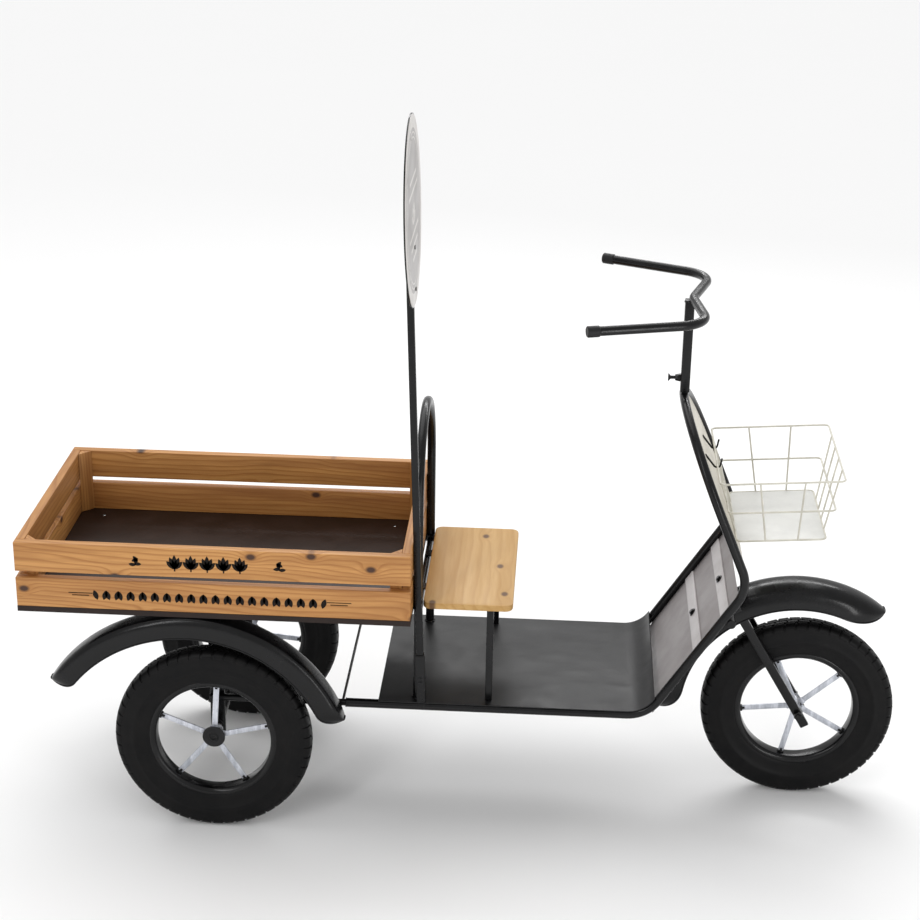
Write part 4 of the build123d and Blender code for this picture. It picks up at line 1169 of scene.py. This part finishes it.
class CART_OT_sign(bpy.types.Operator):
    """Build the sign's socket, leaning pole and disc, and a plain ring printed on its face"""
    bl_idname = "cart.sign"
    bl_label = "Sign"

    def execute(self, context):
        foot = Vector((-79, -166, DECK_Z))
        lean = Matrix.Translation(foot) @ Matrix.Rotation(radians(-1.8), 4, "Y")

        def tip(bm, name, finish, slot, *nodes):
            """Leans a piece with the pole and finishes it."""
            bmesh.ops.transform(bm, matrix=lean, verts=bm.verts)
            close(bm, name, MAT[finish], "chassis", slot, *nodes)

        socket = bmesh.new()
        add_block(socket, (-8, -8, 0.3), (8, 8, 92), bevel=1.5, segments=3)
        add_block(socket, (-7.2, -7.2, 91), (7.2, 7.2, 93.2), bevel=0.8)
        tip(socket, "pole_socket_tube", "coat", "black_powder_coat", "pole_socket")
        pole = bmesh.new()
        add_block(pole, (-6, -6, 0.3), (6, 6, 860), bevel=1.2, segments=3)
        tip(pole, "sign_pole_tube", "coat", "black_powder_coat", "sign_pole")
        rise, radius, steps = 889, 155, 96           # of the disc's middle above the deck

        def circle(r):
            return [(r * cos(2 * pi * i / steps), r * sin(2 * pi * i / steps)) for i in range(steps)]

        def layer(bm, outline, x_low, thick, bevel=0.0):
            """A flat shape on the disc, from x_low forwards."""
            add_plate(bm, outline, thick, (x_low, 0, rise), (0, 1, 0), (0, 0, 1), bevel)

        back = bmesh.new()
        layer(back, circle(radius), 6, 2.3, 0.4)
        tip(back, "sign_disc_back", "coat", "black_powder_coat", "sign_disc")
        face = bmesh.new()
        layer(face, circle(radius - 1.5), 8.2, 0.6, 0.2)
        tip(face, "sign_disc_face", "sign", "sign_face")
        field = bmesh.new()
        layer(field, circle(132), 8.7, 0.2)
        tip(field, "sign_grey_field", "field", "sign_face")
        marks = bmesh.new()

        def mark(outline):
            layer(marks, outline, 8.85, 0.15)

        for r in (126, 118):
            outer, inner = circle(r), circle(r - 2.5)
            for i in range(steps):
                mark([outer[i - 1], outer[i], inner[i], inner[i - 1]])
        for at, half in ((54, 58), (34, 78), (-34, 78), (-54, 58), (-74, 34)):
            mark([(-half, at - 3), (half, at - 3), (half, at + 3), (-half, at + 3)])
        for lean_of_leaf in (-1.2, -0.6, 0.0, 0.6, 1.2):
            mark(turned(leaf(34, 13), lean_of_leaf, (0, -18)))
        tip(marks, "sign_plain_print", "sign", "sign_face")
        return {"FINISHED"}


# ------------------------------------------------------------- handlebar, basket
class CART_OT_handlebar(bpy.types.Operator):
    """Build the handlebar, its end caps, the stem, the clamp nut and the thumb screw"""
    bl_idname = "cart.handlebar"
    bl_label = "Handlebar"

    def execute(self, context):
        body = "handlebar_assembly"
        height, clamp_z = 950.0, 806
        corners = [(202, -213), (397, -140), (366, 0), (397, 140), (202, 213)]
        stem_at = Vector((APEX_X, 0, height))
        turn = Matrix.Rotation(radians(-4), 3, "Z")       # welded a little out of square
        corners = [stem_at + turn @ Vector((x - APEX_X, y, 0)) for x, y in corners]
        line = rounded_path(corners, (58, 58, 58))
        bar = bmesh.new()
        add_tube(bar, line, TUBE, sides=28)
        close(bar, "handlebar_tube", MAT["coat"], body, "black_powder_coat", "handlebar")
        caps = bmesh.new()
        for end, inner in ((line[0], line[1]), (line[-1], line[-2])):
            way = (inner - end).normalized()
            add_tube(caps, [end - way * 2, end + way * 9, end + way * 19.5], 9.5, sides=28, soft=1.4)
        close(caps, "handlebar_end_caps", MAT["plastic"], body, "black_plastic", "grip_caps")
        low, high = box_mm("handlebar_stem")
        stem = bmesh.new()
        add_block(stem, low, (high.x, high.y, high.z - 1), bevel=1.6, segments=3)
        add_weld(stem, (APEX_X, 0, height - 7), 8.4, (0, 0, 1), 3, bead=1.3)
        close(stem, "stem_tube", MAT["coat"], body, "black_powder_coat", "handlebar_stem")
        nut = bmesh.new()
        add_nut(nut, (7.5, 5.6), 9.6, 0.7, Matrix.Rotation(-pi / 2, 3, "Y"), (APEX_X - 13, 0, clamp_z))
        close(nut, "clamp_nut_hexagon", MAT["coat"], body, "black_powder_coat", "clamp_nut")
        screw = bmesh.new()
        add_tube(screw, [Vector((APEX_X - d, 0, clamp_z)) for d in (17.5, 20, 25.5)], 2.9, sides=20)
        wing = [(-24, -2.6), (-26, -3.2), (-28.4, -6.6), (-29.8, -6.8), (-29.8, 6.8), (-28.4, 6.6),
                (-26, 3.2), (-24, 2.6)]
        add_plate(screw, wing, 3.4, (APEX_X, 1.7, clamp_z), (1, 0, 0), (0, 0, 1), 0.7)
        close(screw, "thumb_screw_wing", MAT["coat"], "clamp_screw", "zinc_steel", "thumb_screw")
        return {"FINISHED"}


class CART_OT_basket(bpy.types.Operator):
    """Build the wire basket, its base sheet and the two hooks that hold it"""
    bl_idname = "cart.basket"
    bl_label = "Basket"

    def execute(self, context):
        hang = Matrix.Translation((531.5, 0, 612)) @ Matrix.Rotation(-radians(4), 4, "Y")
        # top, middle and bottom ring: height, half length and half width
        levels = ((58.5, 105, 133), (0, 90.5, 120.5), (-58.5, 76, 108))
        wires = bmesh.new()
        tree = wire_tree()

        def bend(target, points, radius, corner, closed=False):
            """Adds one wire bent along the points."""
            path = bmesh.new()
            verts = [path.verts.new(p) for p in points]
            for a, b in zip(verts, verts[1:]):
                path.edges.new((a, b))
            if closed:
                path.edges.new((verts[-1], verts[0]))
            grow_into(target, tree, path, {
                "Radius": radius * MM, "Bend": corner * MM, "Finish": MAT["ivory"]})

        for z, hx, hy in levels:
            bend(wires, [hang @ Vector((sx * hx, sy * hy, z))
                         for sx, sy in ((1, 1), (-1, 1), (-1, -1), (1, -1))], 1.8, 9, True)
        (zt, xt, yt), (zb, xb, yb) = levels[0], levels[2]
        # each upright runs down one side, under the base and up the other side
        for f in (-0.6, -0.2, 0.2, 0.6):
            bend(wires, [hang @ Vector(p) for p in (
                (xt, f * yt, zt), (xb, f * yb, zb - 1.4), (-xb, f * yb, zb - 1.4),
                (-xt, f * yt, zt))], 1.6, 5)
        for f in (-0.36, 0.36):
            bend(wires, [hang @ Vector(p) for p in (
                (f * xt, yt, zt), (f * xb, yb, zb - 1.4), (f * xb, -yb, zb - 1.4),
                (f * xt, -yt, zt))], 1.6, 5)
        close(wires, "basket_wire_frame", MAT["ivory"], "basket", "ivory_wire", "basket_wires")
        base = bmesh.new()
        add_plate(base, rounded_outline(2 * xb - 3, 2 * yb - 3, 10), 1.2, (0, 0, zb - 0.4),
                  (1, 0, 0), (0, 1, 0), 0.3)
        bmesh.ops.transform(base, matrix=hang, verts=base.verts)
        close(base, "basket_base_sheet", MAT["base"], "basket", "ivory_wire", "basket_base")
        hooks = bmesh.new()
        for y in (-45, 45):
            bend(hooks, [Vector(p) for p in ((400.4, y, 683), (418.5, y, 659.8), (427, y, 659.8),
                                             (429.8, y, 676))], 1.7, 4.5)
        coat(hooks, "basket_hook_wires", "basket_hooks")
        return {"FINISHED"}


class CART_OT_carried(bpy.types.Operator):
    """Give every CAD piece that still shows its own finish"""
    bl_idname = "cart.carried"
    bl_label = "Carried-over pieces"

    def execute(self, context):
        finishes = {"tray_pan": "tray", "crate_screws": "zinc", "seat_screws": "zinc"}
        for name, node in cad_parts.items():
            node.data.materials.clear()
            node.data.materials.append(MAT[finishes.get(name, "coat")])
        return {"FINISHED"}


# -------------------------------------------------------------------------- stage
BACKDROP = 0.62                  # strength of the even white all round
CAMERA_AT = Vector((0.14635, -3.23317, 1.9589)) + SHIFT * MM
YAW, PITCH_DOWN, ROLL = radians(-3.057), radians(22.207), radians(0.927)
FIELD_OF_VIEW = radians(26.19)


class CART_OT_stage(bpy.types.Operator):
    """Build the floor, the soft studio lights and the camera"""
    bl_idname = "cart.stage"
    bl_label = "Studio"

    def execute(self, context):
        settings = context.scene.cart_stage
        bm = bmesh.new()
        bmesh.ops.create_grid(bm, x_segments=2, y_segments=2, size=40.0)
        mesh = bpy.data.meshes.new("studio_floor")
        bm.to_mesh(mesh)
        bm.free()
        floor = bpy.data.objects.new("studio_floor", mesh)
        bpy.context.scene.collection.objects.link(floor)
        paper, tree, shader = start("Matt white studio paper", Roughness=0.9)
        shade = span(tree, speckle(tree, place(tree), 900, 2), 0.3, 0.7, 0, 0.05)
        tint = blend(tree, shade, tuple(settings.floor), srgb("#ededed"))
        tree.links.new(tint, shader.inputs["Base Color"])
        mesh.materials.append(paper)
        world = bpy.data.worlds.new("Studio")
        world.use_nodes = True
        backdrop = world.node_tree.nodes["Background"]
        backdrop.inputs["Color"].default_value = srgb("#ffffff")
        backdrop.inputs["Strength"].default_value = BACKDROP
        context.scene.world = world
        context.scene.view_settings.view_transform = "Standard"
        # an even overhead softbox that is larger than the floor in view
        light = bpy.data.lights.new("ceiling_softbox", "SUN")
        light.energy = settings.ceiling
        light.angle = radians(62)
        ceiling = bpy.data.objects.new("ceiling_softbox", light)
        ceiling.rotation_euler = (radians(-24), radians(-14), 0)
        context.scene.collection.objects.link(ceiling)
        self.lamp("front_strip", (-1.6, -2.6, 2.4), (0, 0, 0.4), (0.3, 2.6), settings.key)
        self.lamp("low_strip", (1.9, -2.4, 0.8), (0.2, 0, 0.3), (0.3, 1.8), settings.key * 0.6)
        self.lamp("rear_strip", (0.6, 2.4, 2.2), (0, 0, 0.5), (2.6, 0.3), settings.key)
        self.camera(context)
        return {"FINISHED"}

    def lamp(self, name, at, towards, size, power):
        """A strip softbox of the given size, in metres, that faces a point."""
        light = bpy.data.lights.new(name, "AREA")
        light.shape = "RECTANGLE"
        light.size, light.size_y = size
        light.energy = power
        lamp = bpy.data.objects.new(name, light)
        lamp.location = at
        lamp.rotation_euler = (Vector(towards) - Vector(at)).to_track_quat("-Z", "Y").to_euler()
        bpy.context.scene.collection.objects.link(lamp)

    def camera(self, context):
        """Looks down on the cart from its right, turned a little and not quite level."""
        look = Vector((sin(YAW) * cos(PITCH_DOWN), cos(YAW) * cos(PITCH_DOWN), -sin(PITCH_DOWN)))
        flat_right = Vector((cos(YAW), -sin(YAW), 0))
        flat_up = flat_right.cross(look)
        right = flat_right * cos(ROLL) + flat_up * sin(ROLL)
        up = flat_up * cos(ROLL) - flat_right * sin(ROLL)
        lens = bpy.data.cameras.new("camera")
        lens.sensor_width = 36.0
        lens.angle = FIELD_OF_VIEW
        lens.clip_end = 200.0
        camera = bpy.data.objects.new("camera", lens)
        turn = Matrix((right, up, -look)).transposed()
        camera.matrix_world = Matrix.Translation(CAMERA_AT) @ turn.to_4x4()
        context.scene.collection.objects.link(camera)
        context.scene.camera = camera


class CART_PT_panel(bpy.types.Panel):
    """Lists the settings and the operators in the order they are run"""
    bl_label = "Vending Cart"
    bl_idname = "CART_PT_panel"
    bl_space_type = "VIEW_3D"
    bl_region_type = "UI"
    bl_category = "Cart"

    def draw(self, context):
        for group, names in GROUPS:
            settings = getattr(context.scene, group)
            for name in names:
                self.layout.prop(settings, name)
        for operator in STEPS:
            self.layout.operator(operator.bl_idname)


SETTINGS = (("cart_wheels", CartWheelSettings), ("cart_body", CartBodySettings),
            ("cart_print", CartPrintSettings), ("cart_stage", CartStageSettings))
GROUPS = (("cart_wheels", ("blocks", "block_gap", "spokes")), ("cart_body", ("ripple", "bead")),
          ("cart_print", ("leaves", "lift")), ("cart_stage", ("floor", "ceiling", "key")))
STEPS = (CART_OT_carried, CART_OT_wheels, CART_OT_mudguards, CART_OT_chassis, CART_OT_deck,
         CART_OT_shield, CART_OT_fork, CART_OT_crate, CART_OT_seat, CART_OT_sign,
         CART_OT_handlebar, CART_OT_basket, CART_OT_stage)
CLASSES = tuple(cls for _, cls in SETTINGS) + STEPS + (CART_PT_panel,)


def register():
    """Adds the classes, and the settings to every scene."""
    for cls in CLASSES:
        bpy.utils.register_class(cls)
    for name, cls in SETTINGS:
        setattr(bpy.types.Scene, name, bpy.props.PointerProperty(type=cls))


def unregister():
    """Takes away what register added."""
    for name, _ in SETTINGS:
        delattr(bpy.types.Scene, name)
    for cls in reversed(CLASSES):
        bpy.utils.unregister_class(cls)


def main():
    """Runs every operator in order."""
    register()
    make_materials()
    for operator in STEPS:
        group, name = operator.bl_idname.split(".")
        getattr(getattr(bpy.ops, group), name)()


if __name__ == "__main__":
    main()
